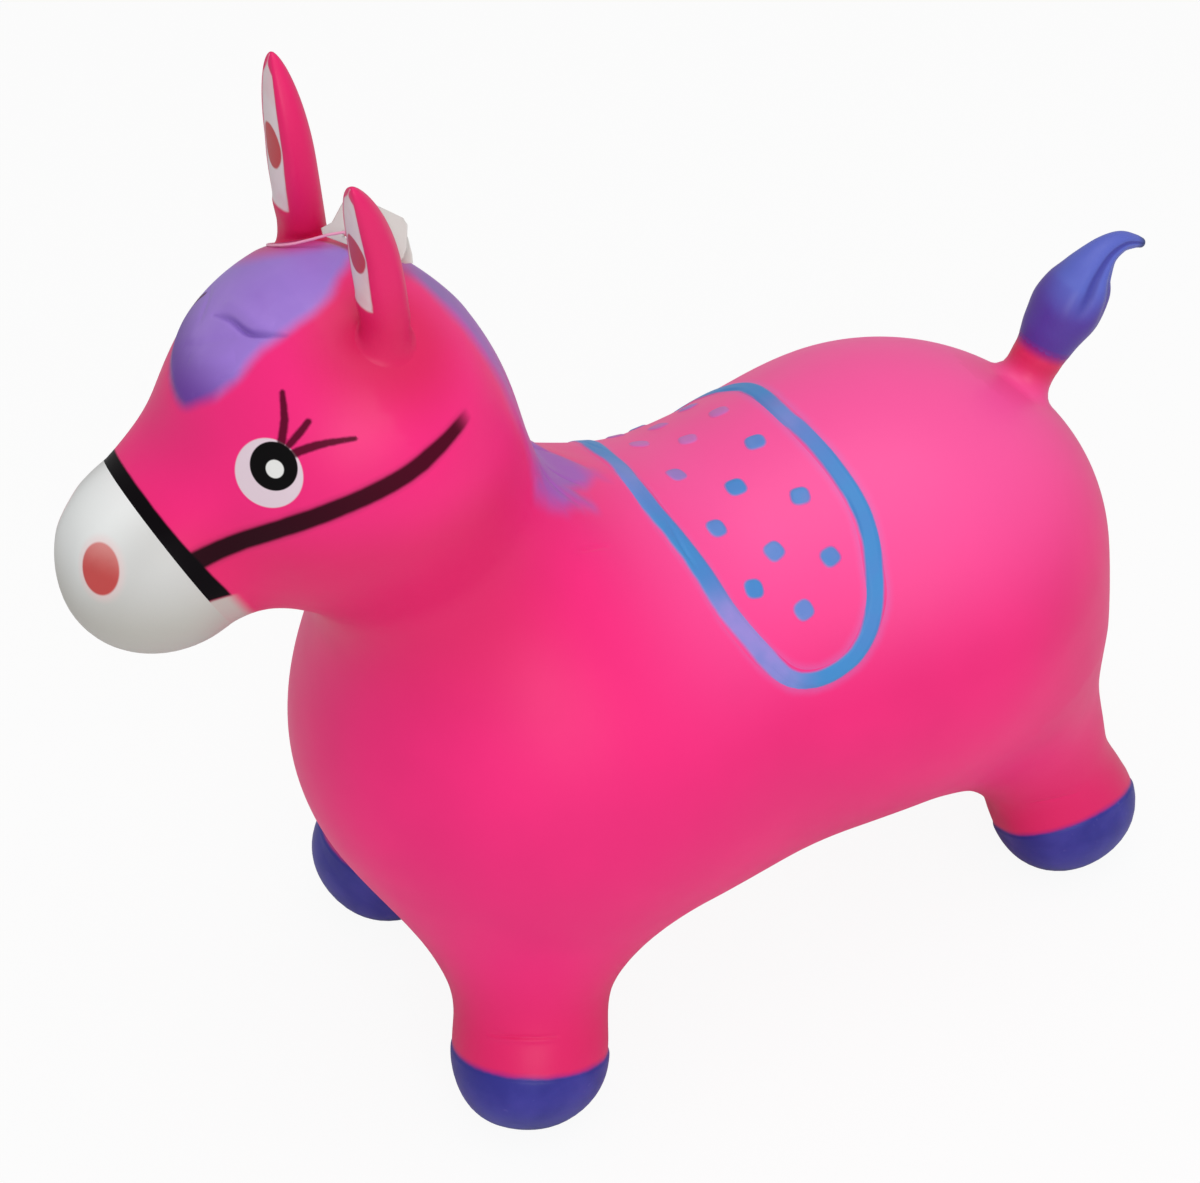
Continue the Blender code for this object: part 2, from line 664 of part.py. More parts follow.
def hang_tag():
    half, card = TAG_OPENING / 2, TAG_CARD
    outline = [(0, 0), (half, TAG_LENGTH), (half - card, TAG_LENGTH), (0, TAG_FOLD),
               (-half + card, TAG_LENGTH), (-half, TAG_LENGTH), (-card, 0)]
    bm = bmesh.new()
    face = bm.faces.new([bm.verts.new((x, y, 0)) for x, y in outline])
    grown = bmesh.ops.extrude_face_region(bm, geom=[face])["geom"]
    rise = [v for v in grown if isinstance(v, bmesh.types.BMVert)]
    bmesh.ops.translate(bm, verts=rise, vec=(0, 0, TAG_HEIGHT))
    bmesh.ops.transform(bm, matrix=tag_frame(), verts=bm.verts)
    tag = add_object("hang_tag", to_mesh(bm, "hang_tag"), WHITE, tag_hole())
    across = tag_across()
    start = tag_hole() - across * TAG_OPENING * 2
    cut(tag, slab("tag_hole", start, across, TAG_HOLE_RADIUS, TAG_OPENING * 4, 16))


def tag_loop():
    """Closed plastic loop: round the ear's root and through the card's hole."""
    hinge = ear_hinge(-1)
    points = []
    for outward, back, rise in LOOP_ROUTE:
        start = (hinge[0] - outward, hinge[1] + back, HEAD[2])
        points.append(Vector(skin_along(start, (0, 0, 1)) + vector((0, 0, rise))))
    points += [tag_hole() + tag_across() * aside for aside in (-LOOP_PASS, 0.0, LOOP_PASS)]
    curve = bpy.data.curves.new("tag_loop", 'CURVE')
    curve.dimensions = '3D'
    curve.bevel_depth = LOOP_RADIUS
    curve.bevel_resolution = 1
    curve.resolution_u = 3
    spline = curve.splines.new('BEZIER')
    spline.bezier_points.add(len(points) - 1)
    for knot, point in zip(spline.bezier_points, points):
        knot.co = point
        knot.handle_left_type = knot.handle_right_type = 'AUTO'
    spline.use_cyclic_u = True
    curve.materials.append(material("tag_loop", WHITE))
    obj = bpy.data.objects.new("tag_loop", curve)
    bpy.context.collection.objects.link(obj)


# Assembly

def legs(skin):
    """Four legs and four hooves; returns the cutters that part them from the torso."""
    floor = slab("floor", vector((0, 0, 0)), vector((0, 0, -1)), FLOOR_REACH, HOOF_HEIGHT)
    drops = []
    for end, (root, hoof, _) in LEGS.items():
        for side, word in ((1, "left"), (-1, "right")):
            mirror = vector((side, 1, 1))
            foot, down = hoof * mirror, unit((hoof - root) * mirror)
            name = f"{end}_{word}"
            size = (LEG_CUT_RADIUS, LEG_LENGTH + 3 * HOOF_RADIUS, 32)
            top = foot - down * LEG_LENGTH
            leg_keep, leg_drop = parting(name + "_leg_line", top, down, *size)
            hoof_keep, hoof_drop = parting(name + "_hoof_line", foot - down * HOOF_LINE_HEIGHT, down, *size)
            skin_zone(name + "_leg", skin, PINK, leg_keep, [hoof_drop], top)
            skin_zone(name + "_hoof", skin, PURPLE, hoof_keep, [floor], foot)
            drops.append(leg_drop)
    return drops


def head_and_neck(skin):
    """Neck, head and muzzle; returns the cutter that parts the neck from the torso."""
    neck_axis = unit(HEAD - NECK_BASE)
    face_axis = unit(MUZZLE - HEAD)
    tilt = np.array(Matrix.Rotation(MUZZLE_LINE_TILT, 3, 'X'))
    neck_foot = NECK_BASE + neck_axis * NECK_LINE_HEIGHT
    head_foot = NECK_BASE + neck_axis * HEAD_LINE_HEIGHT
    muzzle_foot = MUZZLE - face_axis * MUZZLE_LINE_SETBACK
    neck_keep, neck_drop = parting("neck_line", neck_foot, neck_axis, *HEAD_CUT)
    head_keep, head_drop = parting("head_line", head_foot, neck_axis, *HEAD_CUT)
    muzzle_keep, muzzle_drop = parting("muzzle_line", muzzle_foot, tilt @ face_axis, *MUZZLE_CUT)
    sockets = [ball(f"{word}_ear_socket", ear_hinge(side), EAR_ROOT_RADIUS + HINGE_CLEARANCE)
               for side, word in ((1, "left"), (-1, "right"))]
    skin_zone("neck", skin, PINK, neck_keep, [head_drop])
    skin_zone("head", skin, PINK, head_keep, [muzzle_drop, *sockets])
    skin_zone("muzzle", skin, WHITE, muzzle_keep)
    return neck_drop


def main():
    for obj in list(bpy.data.objects):
        bpy.data.objects.remove(obj)

    lining = skin_surface("lining", LINING_PITCH, -WALL)
    body_skin = hollow_skin("body_skin", BODY_PITCH, lining)
    limb_skin = hollow_skin("limb_skin", LIMB_PITCH, lining)
    drops = legs(limb_skin)
    drops.append(head_and_neck(limb_skin))
    ear("left_ear", 1)
    ear("right_ear", -1)
    tail_root()
    tail_tuft()
    root_radius = TAIL_ROOT_RADIUS + HINGE_CLEARANCE
    drops.append(ball("tail_socket", TAIL_HINGE, root_radius))
    swing_room = TAIL_HINGE - TAIL_AXIS * root_radius * math.sin(TAIL_BEND)
    recess = TAIL_STUB_RADIUS + TAIL_RECESS
    drops.append(slab("tail_line", swing_room, TAIL_AXIS, recess, 4 * TAIL_STUB_RADIUS, 20))
    drops.append(valve())
    skin_zone("torso", body_skin, PINK, None, drops)
    hang_tag()
    tag_loop()


main()
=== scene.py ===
import math

import bmesh
import bpy
import numpy as np
from mathutils import Matrix, Vector


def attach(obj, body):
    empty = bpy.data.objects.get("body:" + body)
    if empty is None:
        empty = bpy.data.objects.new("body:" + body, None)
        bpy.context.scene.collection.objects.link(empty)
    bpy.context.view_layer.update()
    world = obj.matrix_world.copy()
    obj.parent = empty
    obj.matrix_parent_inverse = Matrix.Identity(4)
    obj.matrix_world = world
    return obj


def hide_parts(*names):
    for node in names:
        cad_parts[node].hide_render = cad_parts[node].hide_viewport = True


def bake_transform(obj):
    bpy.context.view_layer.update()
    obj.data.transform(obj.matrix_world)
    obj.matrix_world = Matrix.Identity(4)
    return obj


# Inflatable bouncy horse: one painted vinyl skin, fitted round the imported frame.
# Metres, +Z up. The horse faces -Y and its left side is +X.

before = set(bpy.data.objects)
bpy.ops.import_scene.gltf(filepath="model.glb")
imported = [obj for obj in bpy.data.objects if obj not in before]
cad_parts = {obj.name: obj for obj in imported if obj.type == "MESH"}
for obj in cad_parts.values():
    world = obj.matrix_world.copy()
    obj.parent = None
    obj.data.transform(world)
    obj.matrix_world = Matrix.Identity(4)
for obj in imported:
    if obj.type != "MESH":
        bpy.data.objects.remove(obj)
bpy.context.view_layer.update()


def vector(values):
    return np.array(values, float)


SIDES = {"left": 1, "right": -1}

# The blown skin's masses, with the frame's own sizes
CHEST, CHEST_RADII = vector((0, -0.055, 0.189)), (0.109, 0.122, 0.102)
RUMP, RUMP_RADII = vector((0, 0.131, 0.207)), (0.1035, 0.1175, 0.0965)
BARREL_RADIUS = 0.1055
BARREL_HEIGHT = 0.168
BARREL_ENDS = [vector((0, y, BARREL_HEIGHT)) for y in (CHEST[1], RUMP[1])]
BODY_BLEND = 0.061
NECK_BASE = vector((0, -0.067, 0.231))
NECK_RADII = (0.065, 0.056)
NECK_BLEND = 0.061
HEAD, HEAD_RADII = vector((0, -0.158, 0.393)), (0.071, 0.063, 0.070)
HEAD_BLEND = 0.044
MUZZLE, MUZZLE_RADII = vector((0, -0.246, 0.3515)), (0.041, 0.039, 0.041)
FACE_RADII = (0.053, 0.0315)
MUZZLE_BLEND = 0.026
HOOF_RADII = (0.037, 0.037, 0.0325)
HOOF_BLEND = 0.020
LEG_BLEND = 0.048
# Root, hoof's middle and radii of the two left legs
LEGS = {"front": (vector((0.039, -0.087, 0.1225)), vector((0.082, -0.113, 0.031)), (0.046, 0.033)),
        "rear": (vector((0.041, 0.187, 0.1345)), vector((0.0645, 0.227, 0.031)), (0.045, 0.033))}
LEG_LENGTH = 0.045  # from a leg zone's top to the hoof's middle, along the leg
LEG_REACH = 0.060  # of a leg zone from the leg's line
HOOF_LINE = 0.005  # paint line above the hoof's middle, along the leg
HOOF_STEP = 0.0007  # the hoof stands proud of the leg
# Plane of each hoof's paint line: height at the hoof's middle, rise outward and rise backward
HOOF_PAINT = {"front_left": (0.0365, 0.375, -0.285), "front_right": (0.043, 0.02, -0.285),
              "rear_left": (0.030, 0.64, 0.115), "rear_right": (0.030, 0.64, 0.115)}
FIELD_STEP = 0.0003

# Tail
TAIL_HINGE = vector((0, 0.21925, 0.27859))
TAIL_AXIS = vector((0, 0.515, 0.857))
TAIL_STUB = (-0.018, 0.000, 0.0120)  # its ends along the root from the hinge, and its radius
TAIL_STUB_BLEND = 0.010
TAIL_SETBACKS = (0.0, 0.0050, 0.0103, 0.0150, 0.0211, 0.0281, 0.0336, 0.041, 0.050, 0.0585, 0.0635)
TAIL_HEIGHTS = (0.0, 0.0100, 0.0190, 0.0283, 0.0375, 0.0480, 0.0570, 0.0645, 0.0672, 0.0650, 0.0625)
TAIL_RADII = (0.0127, 0.0131, 0.0139, 0.0163, 0.0182, 0.0163, 0.0118, 0.0078, 0.0055, 0.0036, 0.0026)
TAIL_PAINT_STATION = 2
TAIL_ZONE_DROP = 0.006  # the flexing root begins this far before the hinge

# Valleys between the locks: angle round the tail, twist towards the tip and depth
TUFT_VALLEYS = ((0.38, -0.25, 1.0), (-0.5, 0.2, 0.6), (2.9, 0.3, 0.7), (-1.7, 0.4, 0.6))
TUFT_DEPTH, TUFT_VALLEY_WIDTH = 0.17, 0.26  # share of the radius and angle
TUFT_SIDES, TUFT_RINGS = 72, 70
TUFT_OVERLAP, TUFT_TUCK = 0.0012, 0.0004  # its first ring lies back inside the root and under its skin

# Ears
EAR_HINGES = {"left": vector((0.041, -0.1485, 0.46309)), "right": vector((-0.041, -0.1485, 0.46309))}
EAR_LENGTH = 0.0841
EAR_ROOT_RADIUS = 0.0105
EAR_HALF_WIDTH, EAR_BACK_DEPTH, EAR_FRONT_DEPTH = 0.0130, 0.0099, 0.0081
EAR_WIDEST = 0.42
EAR_FULLNESS = 0.6
EAR_LEAN = {"left": (0.019, 0.004, 0.015), "right": (0.007, 0.0045, 0.0)}
EAR_FACE = 0.68  # half width of the painted face, as a share of the ear's
EAR_FACE_DEPTH = 0.0005  # the face lies below the rim
EAR_FACE_FOOT = 0.195  # share of the length at which the face begins
EAR_SPOT = (0.525, 0.0078, 0.0101)  # share of the length, half width and half height
EAR_FOOT = 1.38  # spread of the ear's foot on the head, in root radii
EAR_FILLET_TOP = 0.006  # above the hinge
EAR_SWELL = 0.0015  # of the face's lower part
EAR_SIDES = 96

# Skin mesh
COARSE_PITCH = 0.008
HEAD_LEVEL, BELLY_LEVEL = 0.28, 0.08  # only the neck and head lie above, only the belly and legs below
MARK_SINK = 0.0003  # the rim of a moulded mark dips this far under the skin
VALVE_PLACE = vector((0, 0.059, 0.0625))
VALVE_HOLE = 0.0082

# Paint and moulded marks, as points on the skin in millimetres; those with (m) are mirrored
MUZZLE_LINE = (vector((0, -0.2384, 0.3565)), vector((0, -0.901, -0.434)))
NOSEBAND = ((0.360, 0.380, 0.405), (0.0088, 0.0074, 0.0062))  # heights and its widths there
NOSEBAND_END = 0.355  # height at which it stops under the jaw
STRAP = ((36, -243, 373), (40, -236, 377), (50, -218, 387), (61, -204, 396), (69, -189, 403.5),
         (73, -174, 409), (74.6, -160, 413.5), (73, -146, 418.5), (68, -133, 422), (61, -121, 424.5))
STRAP_HALF_WIDTHS = (0.0044, 0.0043, 0.0041, 0.0039, 0.0024)
EYE = ((50.6, -209, 417.3), 0.0149)
IRIS = ((51, -206.5, 420.5), 0.0104)
EYE_SPOT = ((51.5, -206, 419.5), 0.0039)
LASHES = ((((50, -202, 429), (46, -198, 438), (39, -195, 446)), (0.0019, 0.0018, 0.0012)),
          (((52, -200, 429), (52, -195, 433), (52, -190, 438)), (0.0014, 0.0017, 0.0014)),
          (((54, -200, 426), (57, -193, 429), (60, -186, 431), (64, -175, 432)), (0.0019, 0.0018, 0.0010)))
NOSTRILS = ((21, -276, 372), (-27, -270.5, 368))
NOSTRIL_RADII, NOSTRIL_DEPTH = (0.0096, 0.0113), 0.0009
FORELOCK = ((-8, -141, 468), (1, -147, 470), (12, -157, 470), (21, -168, 467), (22, -182, 463),
            (21, -198, 454), (20, -211, 442), (9, -223, 430), (1, -226, 427), (-14, -223, 428),
            (-32, -214, 430), (-48, -200, 433), (-56, -183, 438), (-55, -168, 448), (-44, -158, 458),
            (-25, -146, 466))
FORELOCK_FACING = vector((-0.1, -0.5, 0.86))
FORELOCK_RISE = 0.0010
MANE_HEIGHTS = (316, 322, 330, 338, 358, 374, 394, 409, 423, 433, 440, 448, 454, 458, 462)
MANE_HALF_WIDTHS = (2, 14, 24, 33, 38, 35, 38, 38, 35, 31, 27, 22, 16, 9, 2)
MANE_RISE = 0.0005
# Locks of the mane at the withers (m): root, tip and the half width at the root
MANE_LOCKS = (((22, -64, 338), (27, -44, 321), 0.0085), ((0, -60, 340), (0, -41, 324), 0.0090),
              ((34, -80, 350), (37, -64, 332), 0.0070), ((28, -72, 345), (30, -52, 326), 0.0120))
# Folds: line, rise (less than nothing is a groove), half width and whether it is mirrored
FOLDS = ((((-14, -201, 453), (-4, -198, 456), (9, -196, 457), (16, -192, 459), (23, -185, 461)),
          -0.0022, 0.0015, False),
         (((-16, -196, 457), (-3, -193, 460), (9, -191, 461), (17, -187, 462)), 0.0013, 0.0034, False),
         (((-20, -215, 440), (-8, -211, 446), (2, -204, 452), (8, -200, 455)), -0.0006, 0.0022, False),
         (((-8, -216, 439), (6, -211, 446), (14, -204, 452)), 0.0010, 0.0040, False),
         (((13, -213, 442), (19, -207, 446), (23, -200, 450)), -0.0006, 0.0013, False),
         (((-44, -190, 446), (-30, -197, 450), (-18, -206, 447)), -0.0006, 0.0018, False),
         (((24, -76, 352), (29, -60, 336), (31, -50, 326)), -0.0007, 0.0016, True),
         (((8, -64, 346), (13, -50, 332), (14, -40, 323)), -0.0008, 0.0017, True),
         (((26, -94, 415), (22, -82, 385), (14, -66, 352)), -0.0005, 0.0022, True),
         (((51, -66, 318.5), (48.5, -55.5, 314.5), (46, -45, 310)), -0.0007, 0.0011, True),
         (((88, -137, 66.5), (99, -124, 68.5), (106, -108, 67)), -0.0008, 0.0010, True),
         (((88, -137, 64.5), (99, -124, 66.5), (106, -108, 65)), 0.0005, 0.0013, True),
         (((80, 190, 66), (90, 201, 68), (96, 214, 69)), -0.0004, 0.0012, True),
         (((30.5, -6.5, 297.5), (44, -7, 292.5), (54, -6, 286.5)), -0.0008, 0.0010, True),
         (((92, 14, 246.5), (97.5, 21, 238), (101, 32, 230.5)), -0.0008, 0.0011, True),
         (((47, 81, 292), (59, 80, 285.5), (68, 78.5, 279.5)), -0.0008, 0.0010, True))
# Swellings and hollows (m) that the plain masses leave out: place, rise and radius
SWELLINGS = (((31, -240, 394), 0.0028, 0.018), ((0, -287, 364), -0.0026, 0.017),
             ((34, -256, 328), -0.0020, 0.024), ((18, -100, 440), -0.0024, 0.030),
             ((32, -30, 312), -0.0028, 0.028), ((70, 78, 278), -0.0022, 0.036),
             ((112, -134, 12), -0.0024, 0.020), ((120, -110, 22), -0.0022, 0.022),
             ((72, -150, 26), -0.0026, 0.026), ((92, -73, 50), 0.0015, 0.016),
             ((0, -53, 338), -0.0050, 0.022), ((61, 186, 28), -0.0028, 0.018),
             ((103, 228, 22), -0.0024, 0.026), ((72, 240, 95), 0.0022, 0.022))
# Saddle (m): half of its outline, from the middle of the front edge round to the back edge
SADDLE = ((0, -11, 305), (13, -10, 303), (27, -9, 300), (44, -6, 292), (57, -3, 283), (72, 0, 271),
          (84, 7, 258), (92, 15, 247), (97, 24, 238), (99, 38, 234), (99, 53, 237), (96, 64, 245),
          (91, 72, 255), (86, 76, 262), (80, 78, 269), (68, 82, 280), (54, 84, 289), (34, 83, 297),
          (10, 81, 302), (0, 81, 303))
SADDLE_RIDGE = (0.0058, 0.0009)  # half width and height of the moulded ridge
SADDLE_FRONT = 1.30  # its front strip is wider by this factor
SADDLE_PAINT = 0.0046  # half width of its paint
DOTS = ((37, 16, 289), (66, 19, 272), (55, 37, 280), (80, 39, 261), (38, 61, 292), (67, 61, 276))
RIDGE_DOTS = ((0, 15.5, 296), (19, 37, 293), (-26, 36.5, 292), (-1, 59.5, 298))
DOT_SIZE = (0.0060, 0.0008)  # radius and height of a moulded dot
DOT_PAINT = 0.0050

# Card tag, in its own plane: two leaves from a fold, each with its left and right edge (mm)
TAG_ORIGIN = vector((-0.022, -0.146, 0.4708))
TAG_ALONG = vector((0.8644, 0.4990, -0.0620))
TAG_UP = vector((-0.2803, 0.5804, 0.7646))
TAG_ACROSS = vector((0.4175, -0.6435, 0.6416))
TAG_LEAVES = ((((-1, -0.6), (-3.2, 2), (0.6, 6), (1.7, 14), (3, 20.5)),
               ((37, 0.8), (38, 4), (37.6, 8), (33.5, 17), (30.5, 19)), 0.0),
              (((-1, -0.6), (-2.6, 2), (0.6, 6), (1.7, 13), (3, 18)),
               ((37.5, 1.6), (40.8, 3), (38.8, 6.5), (34.2, 12), (31.6, 14)), -0.0045))
TAG_CARD, TAG_WAVE = 0.0005, 0.0007  # thickness and unevenness
TAG_HOLE = (9.5, 4.2, 2.2)  # along, up and radius (mm)


def unit(v):
    return v / np.linalg.norm(v)


def lengths(rows):
    return np.linalg.norm(rows, axis=1)


def units(rows):
    return rows / lengths(rows)[:, None]


def spline(a, b, c, d, s):
    """Catmull-Rom curve from b at s = 0 to c at s = 1."""
    square, cube = 2 * a - 5 * b + 4 * c - d, 3 * b - a - 3 * c + d
    return 0.5 * (2 * b + (c - a) * s + square * s ** 2 + cube * s ** 3)


def off_axis(p, point, direction):
    """Distance of points from a line."""
    return lengths((p - point) - ((p - point) @ direction)[:, None] * direction)


def smooth(x, start, end):
    """Smooth step from 0 at start to 1 at end."""
    t = np.clip((x - start) / (end - start), 0, 1)
    return t * t * (3 - 2 * t)


# Field of blended masses: distance to the skin, negative inside

def ellipsoid(p, centre, radii):
    q = p - centre
    k0 = np.linalg.norm(q / radii, axis=-1)
    k1 = np.linalg.norm(q / vector(radii) ** 2, axis=-1) + 1e-12
    return k0 * (k0 - 1) / k1


def round_cone(p, a, b, ra, rb):
    axis = b - a
    length = np.linalg.norm(axis)
    axis = axis / length
    q = p - a
    along = q @ axis
    across = np.linalg.norm(q - along[..., None] * axis, axis=-1)
    slope = (ra - rb) / length
    foot = np.clip(along + across * slope / math.sqrt(1 - slope * slope), 0, length)
    return np.hypot(across, along - foot) - (ra + (rb - ra) * foot / length)


def blend(a, b, width):
    h = np.maximum(width - np.abs(a - b), 0) / width
    return np.minimum(a, b) - h * h * width / 4


def body_field(p):
    """The skin without ears and tail."""
    barrel = round_cone(p, *BARREL_ENDS, BARREL_RADIUS, BARREL_RADIUS)
    body = blend(ellipsoid(p, CHEST, CHEST_RADII), barrel, BODY_BLEND)
    body = blend(body, ellipsoid(p, RUMP, RUMP_RADII), BODY_BLEND)
    head = blend(ellipsoid(p, HEAD, HEAD_RADII), round_cone(p, HEAD, MUZZLE, *FACE_RADII), HEAD_BLEND)
    head = blend(head, ellipsoid(p, MUZZLE, MUZZLE_RADII), MUZZLE_BLEND)
    neck = round_cone(p, NECK_BASE, HEAD, *NECK_RADII)
    body = blend(body, blend(head, neck, HEAD_BLEND), NECK_BLEND)
    for side in SIDES.values():
        q = p * (side, 1, 1)
        for root, hoof, radii in LEGS.values():
            boot = ellipsoid(q, hoof, HOOF_RADII)
            body = blend(body, blend(round_cone(q, root, hoof, *radii), boot, HOOF_BLEND), LEG_BLEND)
    return body


def tail_station(k):
    k = min(max(k, 0), len(TAIL_RADII) - 1)
    return vector((TAIL_SETBACKS[k], TAIL_HEIGHTS[k], TAIL_RADII[k]))


def tail_curve(t):
    """Setback, height and radius at station number t, by a Catmull-Rom curve."""
    i = min(int(t), len(TAIL_RADII) - 2)
    return spline(*[tail_station(k) for k in range(i - 1, i + 3)], t - i)


def tail_place(t):
    back, up, radius = tail_curve(t)
    return TAIL_HINGE + vector((0, back, up)), radius


def tail_direction(t):
    last = len(TAIL_RADII) - 1
    return unit(tail_place(min(t + 0.01, last))[0] - tail_place(max(t - 0.01, 0))[0])


TAIL_TUBE = [tail_place(t) for t in np.arange(0, 3.1, 0.25)]
TAIL_PAINT = tail_place(TAIL_PAINT_STATION)[0], tail_direction(TAIL_PAINT_STATION)


def skin_field(p):
    """The skin with the tail's stub and root."""
    start, end, radius = TAIL_STUB
    tail = round_cone(p, TAIL_HINGE + TAIL_AXIS * start, TAIL_HINGE + TAIL_AXIS * end, radius, radius)
    for (a, ra), (b, rb) in zip(TAIL_TUBE, TAIL_TUBE[1:]):
        tail = np.minimum(tail, round_cone(p, a, b, ra, rb))
    return blend(body_field(p), tail, TAIL_STUB_BLEND)


def gradient(field, p):
    steps = np.eye(3) * FIELD_STEP
    return np.stack([(field(p + d) - field(p - d)) / (2 * FIELD_STEP) for d in steps], axis=-1)


def settle(p, rounds=3, field=skin_field):
    """Move points along the gradient onto the skin."""
    for _ in range(rounds):
        g = gradient(field, p)
        p = p - g * (field(p) / (g * g).sum(-1))[:, None]
    return p


def skin_point(millimetres):
    return settle(vector([millimetres]) / 1000)[0]


def skin_along(start, direction):
    """Point of the skin from inside along a direction."""
    inside, outside = 0.0, 0.002
    while skin_field((start + direction * outside)[None])[0] < 0:
        inside, outside = outside, outside + 0.002
    for _ in range(24):
        middle = (inside + outside) / 2
        if skin_field((start + direction * middle)[None])[0] < 0:
            inside = middle
        else:
            outside = middle
    return start + direction * inside


# Lines and regions on the skin

def smooth_line(points, closed=False, parts=5):
    """Catmull-Rom curve through points given in millimetres, laid on the skin."""
    p = vector(points) / 1000
    if closed:
        p = np.concatenate([p[-1:], p, p[:2]])
    else:
        p = np.concatenate([p[:1], p, p[-1:]])
    line = [spline(*four, s) for four in zip(p, p[1:], p[2:], p[3:]) for s in np.arange(parts) / parts]
    return settle(vector(line + [p[-2]]))


def line_distance(p, line, reach=0.030):
    """Distance to a line, at most reach, and the share of the line's length at the nearest point."""
    distance, share = np.full(len(p), reach), np.zeros(len(p))
    near = ((p > line.min(0) - reach) & (p < line.max(0) + reach)).all(1)
    q = p[near]
    best, place = np.full(len(q), reach), np.zeros(len(q))
    for i, (a, b) in enumerate(zip(line, line[1:])):
        along = b - a
        t = np.clip((q - a) @ along / (along @ along), 0, 1)
        d = lengths(q - a - t[:, None] * along)
        closer = d < best
        best[closer] = d[closer]
        place[closer] = (i + t[closer]) / (len(line) - 1)
    distance[near], share[near] = best, place
    return distance, share


def inside_loop(p, loop, facing):
    """Whether points lie inside a closed line, seen along a direction."""
    facing = unit(facing)
    u = unit(np.cross(facing, (1, 0, 0)))
    v = np.cross(facing, u)
    q, ring = np.stack([p @ u, p @ v], 1), np.stack([loop @ u, loop @ v], 1)
    inside = np.zeros(len(p), bool)
    for (ax, ay), (bx, by) in zip(ring, np.roll(ring, -1, axis=0)):
        if ay == by:
            continue
        crosses = (ay > q[:, 1]) != (by > q[:, 1])
        inside ^= crosses & (q[:, 0] < (bx - ax) * (q[:, 1] - ay) / (by - ay) + ax)
    return inside & ((p - loop.mean(0)) @ facing > -0.04)


def stroke_edge(p, line, half_widths):
    """Signed distance to the edge of a stroke whose half width changes along it."""
    distance, share = line_distance(p, line)
    return distance - np.interp(share, np.linspace(0, 1, len(half_widths)), half_widths)


def lock_edge(p, root, tip, width):
    """Signed distance to the edge of a pointed lock of hair."""
    return stroke_edge(p, vector([root, tip]), (width, width * 0.75, 0.0006))


def round_edge(p, mark):
    """Signed distance to the edge of a round mark."""
    place, radius = mark
    return lengths(p - skin_point(place)) - radius


FORELOCK_LOOP = smooth_line(FORELOCK, closed=True)
FOLD_LINES = [(smooth_line(points), rise, width, both) for points, rise, width, both in FOLDS]
STRAP_LINE = smooth_line(STRAP)
SADDLE_LINE = smooth_line(SADDLE)
LASH_LINES = [(smooth_line(points), widths) for points, widths in LASHES]
LOCKS = [(skin_point(root), skin_point(tip), width) for root, tip, width in MANE_LOCKS]


def mirrored(p):
    return np.column_stack([np.abs(p[:, 0]), p[:, 1:]])


def forelock_edge(p):
    distance, _ = line_distance(p, FORELOCK_LOOP)
    return np.where(inside_loop(p, FORELOCK_LOOP, FORELOCK_FACING), -distance, distance)


def mane_edge(p):
    """Signed distance to the edge of the mane on the nape and withers."""
    q = mirrored(p)
    half = np.interp(q[:, 2], vector(MANE_HEIGHTS) / 1000, vector(MANE_HALF_WIDTHS) / 1000)
    axis = unit(HEAD - NECK_BASE)
    along = (q - NECK_BASE) @ axis
    behind = q[:, 1] - (NECK_BASE[1] + along * axis[1])
    edge = np.maximum(q[:, 0] - half, 0.012 - behind)
    edge = np.maximum(edge, MANE_HEIGHTS[0] / 1000 - q[:, 2])
    edge = np.maximum(edge, q[:, 2] - MANE_HEIGHTS[-1] / 1000)
    for lock in LOCKS:
        edge = np.minimum(edge, lock_edge(q, *lock))
    return np.minimum(edge, 0.030)


def nostril_share(p):
    """0 at the middle of the nearer nostril, 1 at its edge."""
    share = np.full(len(p), 9.0)
    for place in NOSTRILS:
        centre = skin_point(place)
        q = p - centre
        normal = unit(gradient(skin_field, centre[None])[0])
        tall = vector((-0.38 * np.sign(centre[0]), 0.2, 0.78))
        tall = unit(tall - normal * (tall @ normal))
        wide = np.cross(normal, tall)
        reach = np.hypot(q @ wide / NOSTRIL_RADII[0], q @ tall / NOSTRIL_RADII[1])
        share = np.minimum(share, np.hypot(reach, q @ normal / 0.02))
    return share


def leg_lines():
    """Hoof's middle and downward direction of all four legs."""
    for end, (root, hoof, _) in LEGS.items():
        for word, side in SIDES.items():
            mirror = vector((side, 1, 1))
            yield f"{end}_{word}", hoof * mirror, unit((hoof - root) * mirror)


def below_hoof_line(p):
    """How far a point near a leg lies below the hoof's paint line; far points get a large minus."""
    below = np.full(len(p), -1.0)
    for name, foot, down in leg_lines():
        height, outward, backward = HOOF_PAINT[name]
        q = p - foot
        line = height + outward * q[:, 0] * np.sign(foot[0]) + backward * q[:, 1]
        under = (line - p[:, 2]) / math.hypot(1, outward, backward)
        near = off_axis(p, foot, down) < LEG_REACH
        below = np.where(near, np.maximum(below, under), below)
    return below


def relief(p):
    """Height of the moulded detail above the plain skin."""
    q = mirrored(p)
    height = FORELOCK_RISE * smooth(-forelock_edge(p), -0.0015, 0.0035)
    height += MANE_RISE * smooth(-mane_edge(p), -0.001, 0.004)
    for line, rise, width, both in FOLD_LINES:
        distance, share = line_distance(q if both else p, line, 0.015)
        ends = np.sin(np.pi * np.clip(share, 0.03, 0.97)) ** 0.7
        height += rise * ends * np.exp(-(distance / width) ** 2)
    for place, rise, radius in SWELLINGS:
        height += rise * np.exp(-((q - vector(place) / 1000) ** 2).sum(1) / radius ** 2)
    height -= NOSTRIL_DEPTH * smooth(nostril_share(p), 1.15, 0.35)
    height += HOOF_STEP * smooth(below_hoof_line(p), 0.0, 0.0022)
    return height


# The skin's mesh

